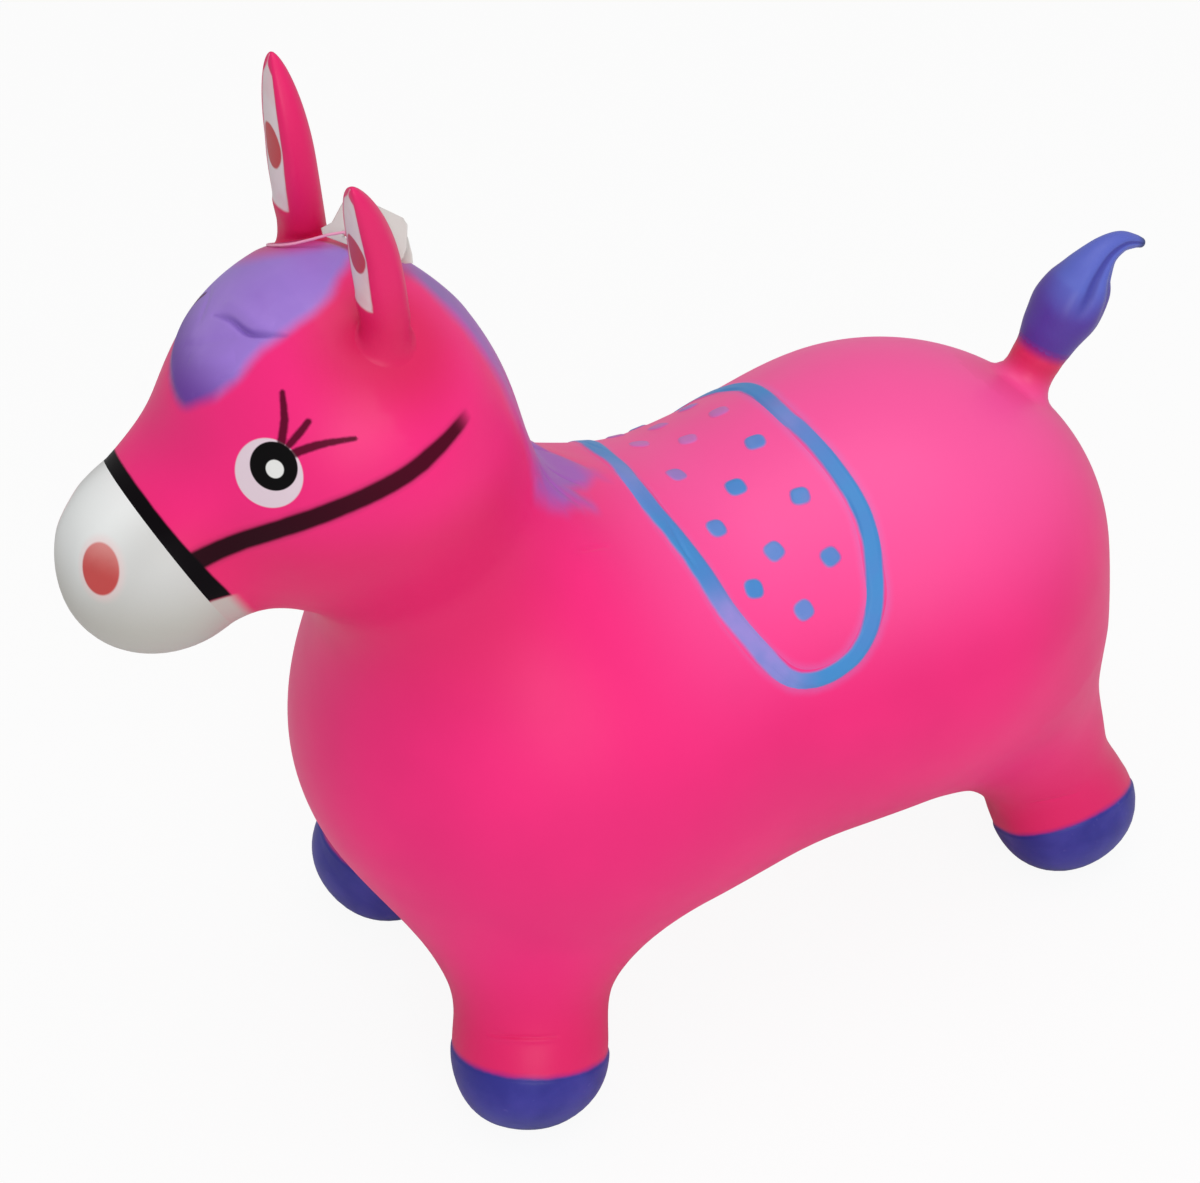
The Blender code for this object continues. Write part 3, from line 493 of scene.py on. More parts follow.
def add_object(name, data):
    obj = bpy.data.objects.new(name, data)
    bpy.context.scene.collection.objects.link(obj)
    return obj


def rough_masses():
    """Middles and radii of balls that stand roughly for the skin."""
    masses = [(CHEST, CHEST_RADII), (RUMP, RUMP_RADII), (HEAD, HEAD_RADII), (MUZZLE, MUZZLE_RADII)]
    runs = [(*BARREL_ENDS, BARREL_RADIUS, BARREL_RADIUS), (NECK_BASE, HEAD, *NECK_RADII),
            (HEAD, MUZZLE, *FACE_RADII)]
    runs += [(a, b, ra, rb) for (a, ra), (b, rb) in zip(TAIL_TUBE, TAIL_TUBE[1:])]
    runs.append((TAIL_HINGE + TAIL_AXIS * TAIL_STUB[0], TAIL_HINGE, TAIL_STUB[2], TAIL_STUB[2]))
    for side in SIDES.values():
        for root, hoof, radii in LEGS.values():
            runs.append((root * (side, 1, 1), hoof * (side, 1, 1), *radii))
    for a, b, ra, rb in runs:
        masses += [(a + (b - a) * t, np.full(3, ra + (rb - ra) * t)) for t in np.linspace(0, 1, 7)]
    return masses


def rough_mesh(pitch):
    """Even closed mesh of the rough masses."""
    bm = bmesh.new()
    for centre, radii in rough_masses():
        place = Matrix.Translation(Vector(centre)) @ Matrix.Diagonal((*radii, 1))
        bmesh.ops.create_icosphere(bm, subdivisions=4, radius=1, matrix=place)
    mesh = bpy.data.meshes.new("rough")
    bm.to_mesh(mesh)
    bm.free()
    rough = add_object("rough", mesh)
    remesh = rough.modifiers.new("even", 'REMESH')
    remesh.mode = 'VOXEL'
    remesh.voxel_size = pitch
    evaluated = rough.evaluated_get(bpy.context.evaluated_depsgraph_get())
    even = bpy.data.meshes.new_from_object(evaluated)
    bpy.data.objects.remove(rough)
    bm = bmesh.new()
    bm.from_mesh(even)
    bpy.data.meshes.remove(even)
    return bm


def positions(bm):
    bm.verts.index_update()
    return vector([v.co for v in bm.verts])


def place_all(bm, p):
    for vert, point in zip(bm.verts, p):
        vert.co = point


def relax(bm, rounds, share=0.6):
    """Even out the mesh along the skin."""
    p = positions(bm)
    edges = np.array([[v.index for v in e.verts] for e in bm.edges])
    links = np.bincount(edges.ravel(), minlength=len(p))[:, None]
    p = settle(p, 4)
    for _ in range(rounds):
        total = np.zeros_like(p)
        np.add.at(total, edges[:, 0], p[edges[:, 1]])
        np.add.at(total, edges[:, 1], p[edges[:, 0]])
        p = settle(p + (total / links - p) * share, 1)
    place_all(bm, settle(p, 2))


def refine(bm, region):
    """Halve the edges of the faces whose middles lie in a region."""
    middles = vector([f.calc_center_median() for f in bm.faces])
    edges = {e for face, chosen in zip(bm.faces, region(middles)) if chosen for e in face.edges}
    bmesh.ops.subdivide_edges(bm, edges=list(edges), cuts=1, use_grid_fill=True)
    place_all(bm, settle(positions(bm), 2))


def everywhere(p):
    return np.ones(len(p), bool)


def near_folds(p, widths):
    """Whether points lie within some half widths of a fold."""
    q = mirrored(p)
    near = np.zeros(len(p), bool)
    for line, _, width, both in FOLD_LINES:
        near |= line_distance(q if both else p, line)[0] < widths * width
    return near


def fine_region(p):
    """Where paint or moulding needs a finer mesh."""
    q = mirrored(p)
    region = forelock_edge(p) < 0.006
    region |= mane_edge(p) < 0.006
    region |= round_edge(q, EYE) < 0.0251
    region |= stroke_edge(q, STRAP_LINE, (0.009, 0.009)) < 0
    region |= nostril_share(p) < 1.5
    region |= np.abs((p - MUZZLE_LINE[0]) @ MUZZLE_LINE[1]) < 0.014
    region |= np.abs(below_hoof_line(p) - 0.001) < 0.006
    region |= lengths(p - VALVE_PLACE) < 0.020
    region |= near_folds(p, 3)
    return region & ((p[:, 2] > HEAD_LEVEL) | (below_hoof_line(p) > -0.06) | (p[:, 2] < BELLY_LEVEL))


def finest_region(p):
    """Where small marks need the finest mesh."""
    q = mirrored(p)
    region = round_edge(q, EYE) < 0.0191
    region |= np.abs(nostril_share(p) - 1) < 0.25
    region |= np.abs(below_hoof_line(p) - 0.001) < 0.003
    region |= near_folds(p, 2.2)
    for lock in LOCKS:
        region |= np.abs(lock_edge(q, *lock)) < 0.003
    return region


def stroke_region(p):
    """Along the thin painted strokes of the eye."""
    q = mirrored(p)
    region = np.abs(round_edge(q, EYE_SPOT)) < 0.0015
    for line, widths in LASH_LINES:
        region |= stroke_edge(q, line, widths) < 0.0015
    return region


def slice_at(bm, point, normal, near):
    """Cut the mesh's faces near a place along a plane."""
    middles = vector([f.calc_center_median() for f in bm.faces])
    chosen = near(middles) & (np.abs((middles - point) @ normal) < 0.012)
    faces = [face for face, hit in zip(bm.faces, chosen) if hit]
    geometry = faces + list({e for f in faces for e in f.edges}) + list({v for f in faces for v in f.verts})
    bmesh.ops.bisect_plane(bm, geom=geometry, dist=1e-5, plane_co=Vector(point), plane_no=Vector(normal))


def near_line(point, normal, reach):
    return lambda p: off_axis(p, point, normal) < reach


def zones(p):
    """Name of the piece that a point of the skin belongs to; nothing where the skin is cut away."""
    names = np.full(len(p), "skin", dtype=object)
    names[((p - MUZZLE_LINE[0]) @ MUZZLE_LINE[1] > 0) & (p[:, 2] > HEAD_LEVEL)] = "muzzle"
    for name, foot, down in leg_lines():
        along = (p - foot) @ down
        near = near_line(foot, down, LEG_REACH)(p)
        names[near & (along > -LEG_LENGTH)] = name + "_leg"
        names[near & (along > -HOOF_LINE)] = name + "_hoof"
    near = lengths(p - TAIL_HINGE) < 0.08
    root = near & ((p - TAIL_HINGE) @ TAIL_AXIS > -TAIL_ZONE_DROP)
    names[root & near_line(TAIL_HINGE, TAIL_AXIS, 0.04)(p)] = "tail_root"
    point, direction = TAIL_PAINT
    names[near & ((p - point) @ direction > 0) & near_line(point, direction, 0.03)(p)] = ""
    return names


def open_valve(bm):
    """Round hole in the belly for the valve's collar."""
    def plan(point):
        return math.hypot(point[0] - VALVE_PLACE[0], point[1] - VALVE_PLACE[1])
    low = [f for f in bm.faces if f.calc_center_median().z < BELLY_LEVEL]
    bmesh.ops.delete(bm, geom=[f for f in low if plan(f.calc_center_median()) < VALVE_HOLE], context='FACES')
    for vert in bm.verts:
        if vert.is_boundary and vert.co.z < BELLY_LEVEL and plan(vert.co) < 2 * VALVE_HOLE:
            stretch = VALVE_HOLE / plan(vert.co)
            vert.co.x *= stretch
            vert.co.y = VALVE_PLACE[1] + (vert.co.y - VALVE_PLACE[1]) * stretch


def ear_foot_distance(p):
    return lengths(mirrored(p) - EAR_HINGES["left"] + vector((0, 0, 0.006)))


def marks(p):
    """Distances that the paint follows, one per vertex."""
    q = mirrored(p)
    from_line = -((p - MUZZLE_LINE[0]) @ MUZZLE_LINE[1])
    from_line[lengths(p - MUZZLE) > 0.08] = 0.03
    strap, strap_share = line_distance(q, STRAP_LINE)
    strap_widths = np.interp(strap_share, np.linspace(0, 1, len(STRAP_HALF_WIDTHS)), STRAP_HALF_WIDTHS)
    point, direction = TAIL_PAINT
    return {
        "forelock": forelock_edge(p), "mane": mane_edge(p), "saddle": line_distance(q, SADDLE_LINE)[0],
        "strap": strap - strap_widths, "strap_share": strap_share,
        "noseband": from_line - np.interp(p[:, 2], *NOSEBAND), "from_muzzle": from_line,
        "eye": round_edge(q, EYE), "iris": round_edge(q, IRIS), "eye_spot": round_edge(q, EYE_SPOT),
        "lashes": np.minimum.reduce([stroke_edge(q, line, widths) for line, widths in LASH_LINES]),
        "nostril": nostril_share(p), "ear_foot": ear_foot_distance(p),
        "crease": stroke_edge(p, FOLD_LINES[0][0], (0.0003, 0.0013, 0.0003)),
        "above_hoof": -below_hoof_line(p), "jaw": p[:, 2] - NOSEBAND_END,
        "tail_paint": (p - point) @ direction,
    }


def add_piece(name, verts, faces, finish, normals=None, attributes=None):
    mesh = bpy.data.meshes.new(name)
    mesh.from_pydata([tuple(v) for v in verts], [], faces)
    for key, values in (attributes or {}).items():
        mesh.attributes.new(key, 'FLOAT', 'POINT').data.foreach_set("value", np.asarray(values, np.float32))
    mesh.shade_smooth()
    if normals is not None:
        own = np.zeros(3 * len(mesh.vertices))
        mesh.vertex_normals.foreach_get("vector", own)
        own = own.reshape(-1, 3)
        own[:len(normals)] = normals
        mesh.normals_split_custom_set_from_vertices([tuple(n) for n in own])
    mesh.materials.append(finish)
    return add_object(name, mesh)


def build_skin(finishes):
    """All zones of the skin, as one object each."""
    bm = rough_mesh(COARSE_PITCH)
    relax(bm, 14)
    refine(bm, everywhere)
    relax(bm, 5)
    refine(bm, fine_region)
    refine(bm, finest_region)
    refine(bm, stroke_region)
    place_all(bm, settle(positions(bm), 3))
    for _, foot, down in leg_lines():
        for reach in (LEG_LENGTH, HOOF_LINE):
            slice_at(bm, foot - down * reach, down, near_line(foot, down, LEG_REACH + 0.01))
    slice_at(bm, *MUZZLE_LINE, lambda p: p[:, 2] > HEAD_LEVEL)
    slice_at(bm, TAIL_HINGE - TAIL_AXIS * TAIL_ZONE_DROP, TAIL_AXIS, near_line(TAIL_HINGE, TAIL_AXIS, 0.05))
    slice_at(bm, *TAIL_PAINT, near_line(*TAIL_PAINT, 0.03))
    open_valve(bm)
    p = positions(bm)
    normals = units(gradient(skin_field, p))
    normals_out = units(normals - gradient(relief, p))
    shown = p + normals * relief(p)[:, None]
    shown[:, 2] = np.maximum(shown[:, 2], 0)
    facts = marks(p)
    names = zones(vector([f.calc_center_median() for f in bm.faces]))
    faces = [[v.index for v in f.verts] for f in bm.faces]
    bm.free()
    pieces = {}
    for name, (title, finish) in finishes.items():
        chosen = [face for face, zone in zip(faces, names) if zone == name]
        used = np.unique([i for face in chosen for i in face])
        place = dict(zip(used.tolist(), range(len(used))))
        pieces[name] = add_piece(title, shown[used], [[place[i] for i in face] for face in chosen], finish,
                                 normals_out[used], {key: values[used] for key, values in facts.items()})
    return pieces


# Materials

def rgb(red, green, blue):
    """Linear colour of a screen colour from 0 to 255."""
    def linear(c):
        c /= 255
        return c / 12.92 if c <= 0.04045 else ((c + 0.055) / 1.055) ** 2.4
    return (linear(red), linear(green), linear(blue), 1)


PINK = rgb(238, 30, 120)
SHEEN_PINK = rgb(252, 96, 170)
# deeper pink: painted shade low down, under the throat and round the ears' feet, and also the ears' and tail
# root's own deeper tone
DEEP_PINK = rgb(206, 22, 74)
WHITE = rgb(231, 233, 232)
MUZZLE_SHADE_GREY = rgb(185, 183, 176)
HOOF_PURPLE = rgb(42, 42, 136)
TUFT_BLUE = rgb(86, 98, 188)
FORELOCK_PURPLE = rgb(146, 118, 208)
FORELOCK_DARK = rgb(88, 51, 155)
MANE_BLUE = rgb(104, 110, 180)
MANE_PURPLE = rgb(140, 98, 192)
SADDLE_BLUE = rgb(44, 138, 202)
SADDLE_PURPLE = rgb(148, 138, 214)
BLACK = rgb(8, 4, 8)
MAROON = rgb(70, 2, 26)
EYE_WHITE = rgb(218, 198, 209)
IRIS_BLACK = rgb(10, 9, 10)
SPOT_WHITE = rgb(222, 222, 220)
NOSTRIL_RED = rgb(190, 54, 52)
EAR_GREY = rgb(226, 214, 217)
EAR_RED = rgb(190, 30, 46)
CARD_WHITE = rgb(210, 208, 204)
FORELOCK_PALE = rgb(152, 124, 212)
CREASE_SHADE_VIOLET = rgb(84, 46, 146)
MUZZLE_SIDE_SHADE = rgb(200, 200, 198)
NOSTRIL_BLUSH = rgb(236, 196, 196)
NOSTRIL_PALE = rgb(214, 132, 128)
HOOF_HALO = rgb(136, 26, 136)
HOOF_BLUE = rgb(58, 56, 152)
HOOF_DUST = rgb(60, 58, 118)
HOOF_SCUFF = rgb(96, 90, 168)
TAIL_VIOLET = rgb(112, 40, 140)
TUFT_VIOLET = rgb(80, 50, 150)
# painted shade for the valleys between the tail's locks
TUFT_VALLEY = rgb(60, 60, 154)
TUFT_TIP = rgb(44, 58, 96)
EAR_BLUSH = rgb(222, 156, 172)
SADDLE_SHADE = rgb(64, 128, 200)
SADDLE_HALO = rgb(168, 70, 170)
VALVE_WHITE = rgb(226, 224, 220)
LOOP_PINK = rgb(234, 160, 192)
GLOSS, DULL_GLOSS = 0.30, 0.06  # specular level of the vinyl and of its dull black paint


class Finish:
    """Vinyl built up in painted layers; its colour, roughness and bump come from nodes."""

    def __init__(self, name, colour, roughness=0.42, seed=0.0, mottle=0.04, grain=0.10):
        self.material = bpy.data.materials.new(name)
        self.material.use_nodes = True
        self.tree = self.material.node_tree
        self.shader = self.tree.nodes["Principled BSDF"]
        self.shader.inputs["Specular IOR Level"].default_value = GLOSS
        self.coords = self.node("ShaderNodeTexCoord").outputs["Object"]
        self.seed = seed
        cloud = self.noise(9, 3)
        self.colour = self.mix(self.span(cloud, 0.35, 0.65), self.shade(colour, 1 - mottle),
                               self.shade(colour, 1 + mottle))
        self.roughness = self.math('ADD', roughness - 0.03, self.both(self.noise(60, 3), 0.08))
        peel = self.math('ADD', self.both(self.noise(420, 2), 0.7), self.noise(1600, 2))
        bump = self.node("ShaderNodeBump")
        bump.inputs["Strength"].default_value = grain
        bump.inputs["Distance"].default_value = 0.0004
        self.link(peel, bump.inputs["Height"])
        self.link(bump.outputs["Normal"], self.shader.inputs["Normal"])

    def node(self, kind):
        return self.tree.nodes.new(kind)

    def link(self, source, socket):
        if hasattr(source, "is_output"):
            self.tree.links.new(source, socket)
        else:
            socket.default_value = source

    def shade(self, colour, factor):
        return (*[min(c * factor, 1) for c in colour[:3]], 1)

    def noise(self, scale, detail):
        coords = self.coords
        if self.seed:
            mapping = self.node("ShaderNodeMapping")
            mapping.inputs["Location"].default_value = (self.seed,) * 3
            self.link(coords, mapping.inputs["Vector"])
            coords = mapping.outputs["Vector"]
        node = self.node("ShaderNodeTexNoise")
        for name, value in (("Scale", scale), ("Detail", detail), ("Vector", coords)):
            self.link(value, node.inputs[name])
        return node.outputs["Fac"]

    def attribute(self, name):
        node = self.node("ShaderNodeAttribute")
        node.attribute_name = name
        return node.outputs["Fac"]

    def math(self, operation, a, b=0.0):
        node = self.node("ShaderNodeMath")
        node.operation = operation
        self.link(a, node.inputs[0])
        self.link(b, node.inputs[1])
        return node.outputs[0]

    def span(self, value, start, end):
        """0 where value is at start, 1 where it is at end, smooth between."""
        node = self.node("ShaderNodeMapRange")
        node.interpolation_type = 'SMOOTHSTEP'
        rising = start < end
        for name, number in (("Value", value), ("From Min", min(start, end)), ("From Max", max(start, end)),
                             ("To Min", float(not rising)), ("To Max", float(rising))):
            self.link(number, node.inputs[name])
        return node.outputs["Result"]

    def mix(self, factor, a, b):
        node = self.node("ShaderNodeMix")
        node.data_type = 'RGBA'
        for socket, value in ((0, factor), (6, a), (7, b)):
            self.link(value, node.inputs[socket])
        return node.outputs[2]

    def both(self, a, b):
        return self.math('MULTIPLY', a, b)

    def edge(self, name, softness, wobble=0.0, scale=120, shift=0.0):
        """Mask of a painted region: 1 inside its edge, which wanders a little."""
        distance = self.attribute(name)
        if wobble:
            wander = self.both(self.math('SUBTRACT', self.noise(scale, 2), 0.5), 2 * wobble)
            distance = self.math('ADD', distance, wander)
        return self.span(distance, shift + softness, shift - softness)

    def layer(self, mask, colour, opacity=1.0):
        if opacity < 1:
            mask = self.both(mask, opacity)
        self.colour = self.mix(mask, self.colour, colour)
        return mask

    def smoother(self, mask, roughness):
        """Another roughness where the mask is 1."""
        change = self.both(mask, self.math('SUBTRACT', roughness, self.roughness))
        self.roughness = self.math('ADD', self.roughness, change)

    def dull(self, mask):
        """Hardly any gloss where the mask is 1."""
        level = self.math('SUBTRACT', GLOSS, self.both(mask, GLOSS - DULL_GLOSS))
        self.link(level, self.shader.inputs["Specular IOR Level"])

    def place(self, axis):
        node = self.node("ShaderNodeSeparateXYZ")
        self.link(self.coords, node.inputs["Vector"])
        return node.outputs[axis]

    def height(self):
        return self.place("Z")

    def ear_shade(self):
        """Painted shade: deeper pink round the foot of an ear, where it meets the head."""
        return self.span(self.attribute("ear_foot"), 0.046, 0.014)

    def done(self):
        self.link(self.colour, self.shader.inputs["Base Color"])
        self.link(self.roughness, self.shader.inputs["Roughness"])
        return self.material


def pink_vinyl(name):
    """Pink vinyl, paler over the back where a sheen is painted, and deeper towards the feet where shade is
    painted.
    """
    f = Finish(name, PINK)
    # painted sheen: paler pink over the top of the back, where the overhead light falls
    back = f.both(f.span(f.height(), 0.21, 0.30), f.span(f.place("Y"), -0.075, 0.03))
    f.layer(back, SHEEN_PINK, 0.70)
    # painted shade: deeper pink low down towards the feet
    f.layer(f.span(f.height(), 0.125, 0.05), DEEP_PINK, 0.5)
    return f


def skin_finish():
    """Pink vinyl with the forelock, mane, bridle, eye and overspray painted on, and with painted shade under
    the throat, round the ears' feet and along a fold of the forelock.
    """
    f = pink_vinyl("pink_vinyl_painted")
    # painted shade: deeper pink under the jaw and down the front of the neck
    throat_shade = f.both(f.span(f.height(), 0.405, 0.370), f.span(f.height(), 0.24, 0.31))
    f.layer(f.both(throat_shade, f.span(f.place("Y"), -0.06, -0.12)), DEEP_PINK, 0.45)
    # painted shade: deeper pink round the foot of each ear
    f.layer(f.ear_shade(), DEEP_PINK, 0.7)
    f.layer(f.edge("saddle", 0.0035, 0.001, shift=0.006), SADDLE_PURPLE, 0.30)
    height = f.height()
    lock = f.mix(f.span(height, 0.452, 0.430), FORELOCK_PURPLE, FORELOCK_DARK)
    lock = f.mix(f.span(f.noise(38, 3), 0.45, 0.75), lock, FORELOCK_PALE)
    near_ear = f.span(f.attribute("ear_foot"), 0.018, 0.036)
    whole = f.edge("forelock", 0.0040, 0.0015, 70, 0.0003)
    f.layer(f.both(whole, f.math('ADD', 0.30, f.both(near_ear, 0.66))), lock)
    # painted shade: violet darkening along the groove of the forelock's first fold
    f.layer(f.edge("crease", 0.0014), CREASE_SHADE_VIOLET, 0.5)
    hair = f.mix(f.span(f.noise(18, 3), 0.40, 0.62), MANE_BLUE, MANE_PURPLE)
    hair = f.mix(f.span(height, 0.400, 0.345), hair, MANE_PURPLE)
    thin = f.both(f.span(height, 0.430, 0.390), f.span(height, 0.345, 0.365))
    opacity = f.math('SUBTRACT', 0.82, f.both(thin, 0.34))
    f.layer(f.both(f.edge("mane", 0.0080, 0.0030, 60, -0.0005), opacity), hair)
    strap = f.edge("strap", 0.0010, 0.0003)
    fade = f.span(f.attribute("strap_share"), 1.0, 0.90)
    f.layer(f.both(f.edge("strap", 0.0024, 0.0006, 90, 0.0006), fade), MAROON, 0.45)
    strap_colour = f.mix(f.span(f.attribute("strap_share"), 0.1, 1.0), BLACK, MAROON)
    strap = f.layer(f.both(strap, fade), strap_colour, 0.96)
    side = f.span(f.attribute("jaw"), -0.0012, 0.0012)
    # white paint carried under the jaw where the noseband stops, greyed there in painted shade
    chin = f.both(f.span(f.attribute("from_muzzle"), 0.0125, 0.0055), f.math('SUBTRACT', 1.0, side))
    f.layer(chin, MUZZLE_SHADE_GREY, 0.92)
    band = f.both(f.edge("noseband", 0.0007, 0.0002, 150), side)
    f.layer(band, BLACK)
    f.layer(f.edge("eye", 0.0004), EYE_WHITE)
    lash = f.layer(f.edge("lashes", 0.0007, 0.0003, 400), MAROON, 0.93)
    iris = f.layer(f.edge("iris", 0.0003), IRIS_BLACK)
    f.layer(f.edge("eye_spot", 0.0003), SPOT_WHITE)
    f.dull(f.math('MAXIMUM', f.math('MAXIMUM', iris, strap), f.math('MAXIMUM', band, lash)))
    return f.done()


def muzzle_finish():
    f = Finish("white_vinyl_muzzle", WHITE, 0.40, 3.0, 0.025)
    # painted shade: greyer towards both sides of the muzzle
    f.layer(f.span(f.math('ABSOLUTE', f.place("X")), 0.010, 0.034), MUZZLE_SIDE_SHADE)
    # painted shade: greyer under the muzzle
    f.layer(f.span(f.height(), 0.376, 0.340), MUZZLE_SHADE_GREY)
    f.layer(f.span(f.attribute("nostril"), 1.45, 0.95), NOSTRIL_BLUSH, 0.5)
    pale = f.math('ADD', f.height(), f.both(f.noise(60, 3), 0.006))
    red = f.mix(f.span(pale, 0.372, 0.386), NOSTRIL_RED, NOSTRIL_PALE)
    f.layer(f.span(f.attribute("nostril"), 1.06, 0.95), red, 0.95)
    return f.done()


def limb_finish(name):
    """Pink leg with its hoof sprayed purple below the paint line."""
    f = pink_vinyl(name)
    f.layer(f.edge("above_hoof", 0.0022, 0.0008, 90, 0.0012), HOOF_HALO, 0.8)
    hoof = f.mix(f.span(f.noise(45, 3), 0.3, 0.7), HOOF_PURPLE, HOOF_BLUE)
    hoof = f.mix(f.span(f.height(), 0.016, 0.004), hoof, HOOF_DUST)
    paint = f.layer(f.edge("above_hoof", 0.0011, 0.0006, 140), hoof)
    scuffs = f.both(paint, f.span(f.noise(210, 4), 0.66, 0.74))
    f.layer(scuffs, HOOF_SCUFF, 0.35)
    f.smoother(scuffs, 0.55)
    return f.done()


def tail_root_finish():
    f = pink_vinyl("pink_vinyl_tail")
    f.layer(f.span(f.attribute("tail_paint"), -0.026, -0.008), DEEP_PINK, 0.85)
    f.layer(f.span(f.attribute("tail_paint"), -0.0065, 0.0), TAIL_VIOLET, 0.9)
    return f.done()


def tuft_finish():
    f = Finish("blue_vinyl_tuft", TUFT_BLUE, 0.40, 7.0, 0.08)
    low = f.math('ADD', f.attribute("violet"), f.both(f.noise(40, 2), 0.12))
    f.layer(f.span(low, 0.46, 0.24), TUFT_VIOLET, 0.9)
    # painted shade: darker blue down the valleys between the locks
    f.layer(f.span(f.attribute("valley"), 0.30, 0.85), TUFT_VALLEY, 0.8)
    f.layer(f.span(f.attribute("station"), 0.86, 1.0), TUFT_TIP, 0.85)
    f.layer(f.span(f.attribute("station"), 0.04, 0.0), TAIL_VIOLET, 0.9)
    return f.done()


def ear_finish():
    f = Finish("pink_vinyl_ear", PINK)
    # the whole ear is a deeper pink, deeper still at its foot in painted shade
    f.layer(f.math('ADD', 0.45, f.both(f.ear_shade(), 0.25)), DEEP_PINK)
    face = f.layer(f.edge("ear_face", 0.0009, 0.0004, 200), EAR_GREY, 0.95)
    f.layer(f.both(face, f.span(f.noise(60, 2), 0.45, 0.70)), EAR_BLUSH, 0.35)
    f.layer(f.edge("ear_spot", 0.0005, 0.0003, 200), EAR_RED, 0.95)
    return f.done()


def saddle_finish(paint_edge):
    f = pink_vinyl("blue_vinyl_saddle")
    blue = f.mix(f.attribute("purple"), SADDLE_BLUE, SADDLE_PURPLE)
    blue = f.mix(f.span(f.noise(30, 3), 0.40, 0.62), blue, f.mix(0.5, blue, SADDLE_SHADE))
    blue = f.mix(f.both(f.span(f.noise(24, 2), 0.55, 0.75), f.attribute("purple")), blue, PINK)
    worn = f.attribute("worn")
    halo = f.edge("across", 0.0014, 0.0005, 90, paint_edge + 0.0003)
    f.layer(f.both(halo, worn), SADDLE_HALO, 0.5)
    f.layer(f.both(f.edge("across", 0.0009, 0.0005, 110, paint_edge), worn), blue, 0.96)
    return f.done()


def plain_finish(name, colour, roughness, seed, mottle=0.04):
    return Finish(name, colour, roughness, seed, mottle).done()


# Lofted pieces

def loft(rings, tip=None):
    """Vertices and faces of a tube from rings of points, closed by a tip."""
    count = len(rings[0])
    verts = [point for ring in rings for point in ring]
    faces = []
    for k in range(len(rings) - 1):
        for i in range(count):
            j = (i + 1) % count
            faces.append([k * count + i, k * count + j, (k + 1) * count + j, (k + 1) * count + i])
    if tip is not None:
        verts.append(tip)
        last = (len(rings) - 1) * count
        faces += [[last + i, last + (i + 1) % count, len(verts) - 1] for i in range(count)]
    return verts, faces


def turns(count):
    """Even angles once round."""
    return np.arange(count) * 2 * math.pi / count


def ear_middle(word, height):
    splay, nod, curl = EAR_LEAN[word]
    share = max(height / EAR_LENGTH, 0)
    aside = SIDES[word] * splay * share ** 2
    return EAR_HINGES[word] + vector((aside, -nod * share - curl * share ** 2, height))


def ear_section(share):
    """Half width, back depth and front depth of the ear."""
    grow = math.sin(min(max(share, 0) / EAR_WIDEST, 1) * math.pi / 2)
    narrow = max(share - EAR_WIDEST, 0) / (1 - EAR_WIDEST)
    taper = max(1 - narrow ** 2, 0) ** EAR_FULLNESS
    return [(EAR_ROOT_RADIUS + (full - EAR_ROOT_RADIUS) * grow) * taper
            for full in (EAR_HALF_WIDTH, EAR_BACK_DEPTH, EAR_FRONT_DEPTH)]


def ear_ring(word, share, angles):
    width, back, front = ear_section(share)
    middle = ear_middle(word, share * EAR_LENGTH)
    flat = 1 - 0.5 * min(max(share, 0) / EAR_WIDEST, 1)
    swell = EAR_SWELL * smooth(share, 0.04, 0.20) * smooth(share, 0.55, 0.30)
    sunk = EAR_FACE_DEPTH * smooth(share, 0.96, 0.90)
    sunk *= smooth(share, EAR_FACE_FOOT - 0.02, EAR_FACE_FOOT + 0.02)
    ring = []
    for a in angles:
        depth = back * math.sin(a)
        if math.sin(a) < 0:
            depth = -(front + swell) * (-math.sin(a)) ** flat
            depth += sunk * float(smooth(abs(math.cos(a)), EAR_FACE + 0.05, EAR_FACE - 0.03))
        ring.append(middle + vector((SIDES[word] * width * math.cos(a), depth, 0)))
    return ring


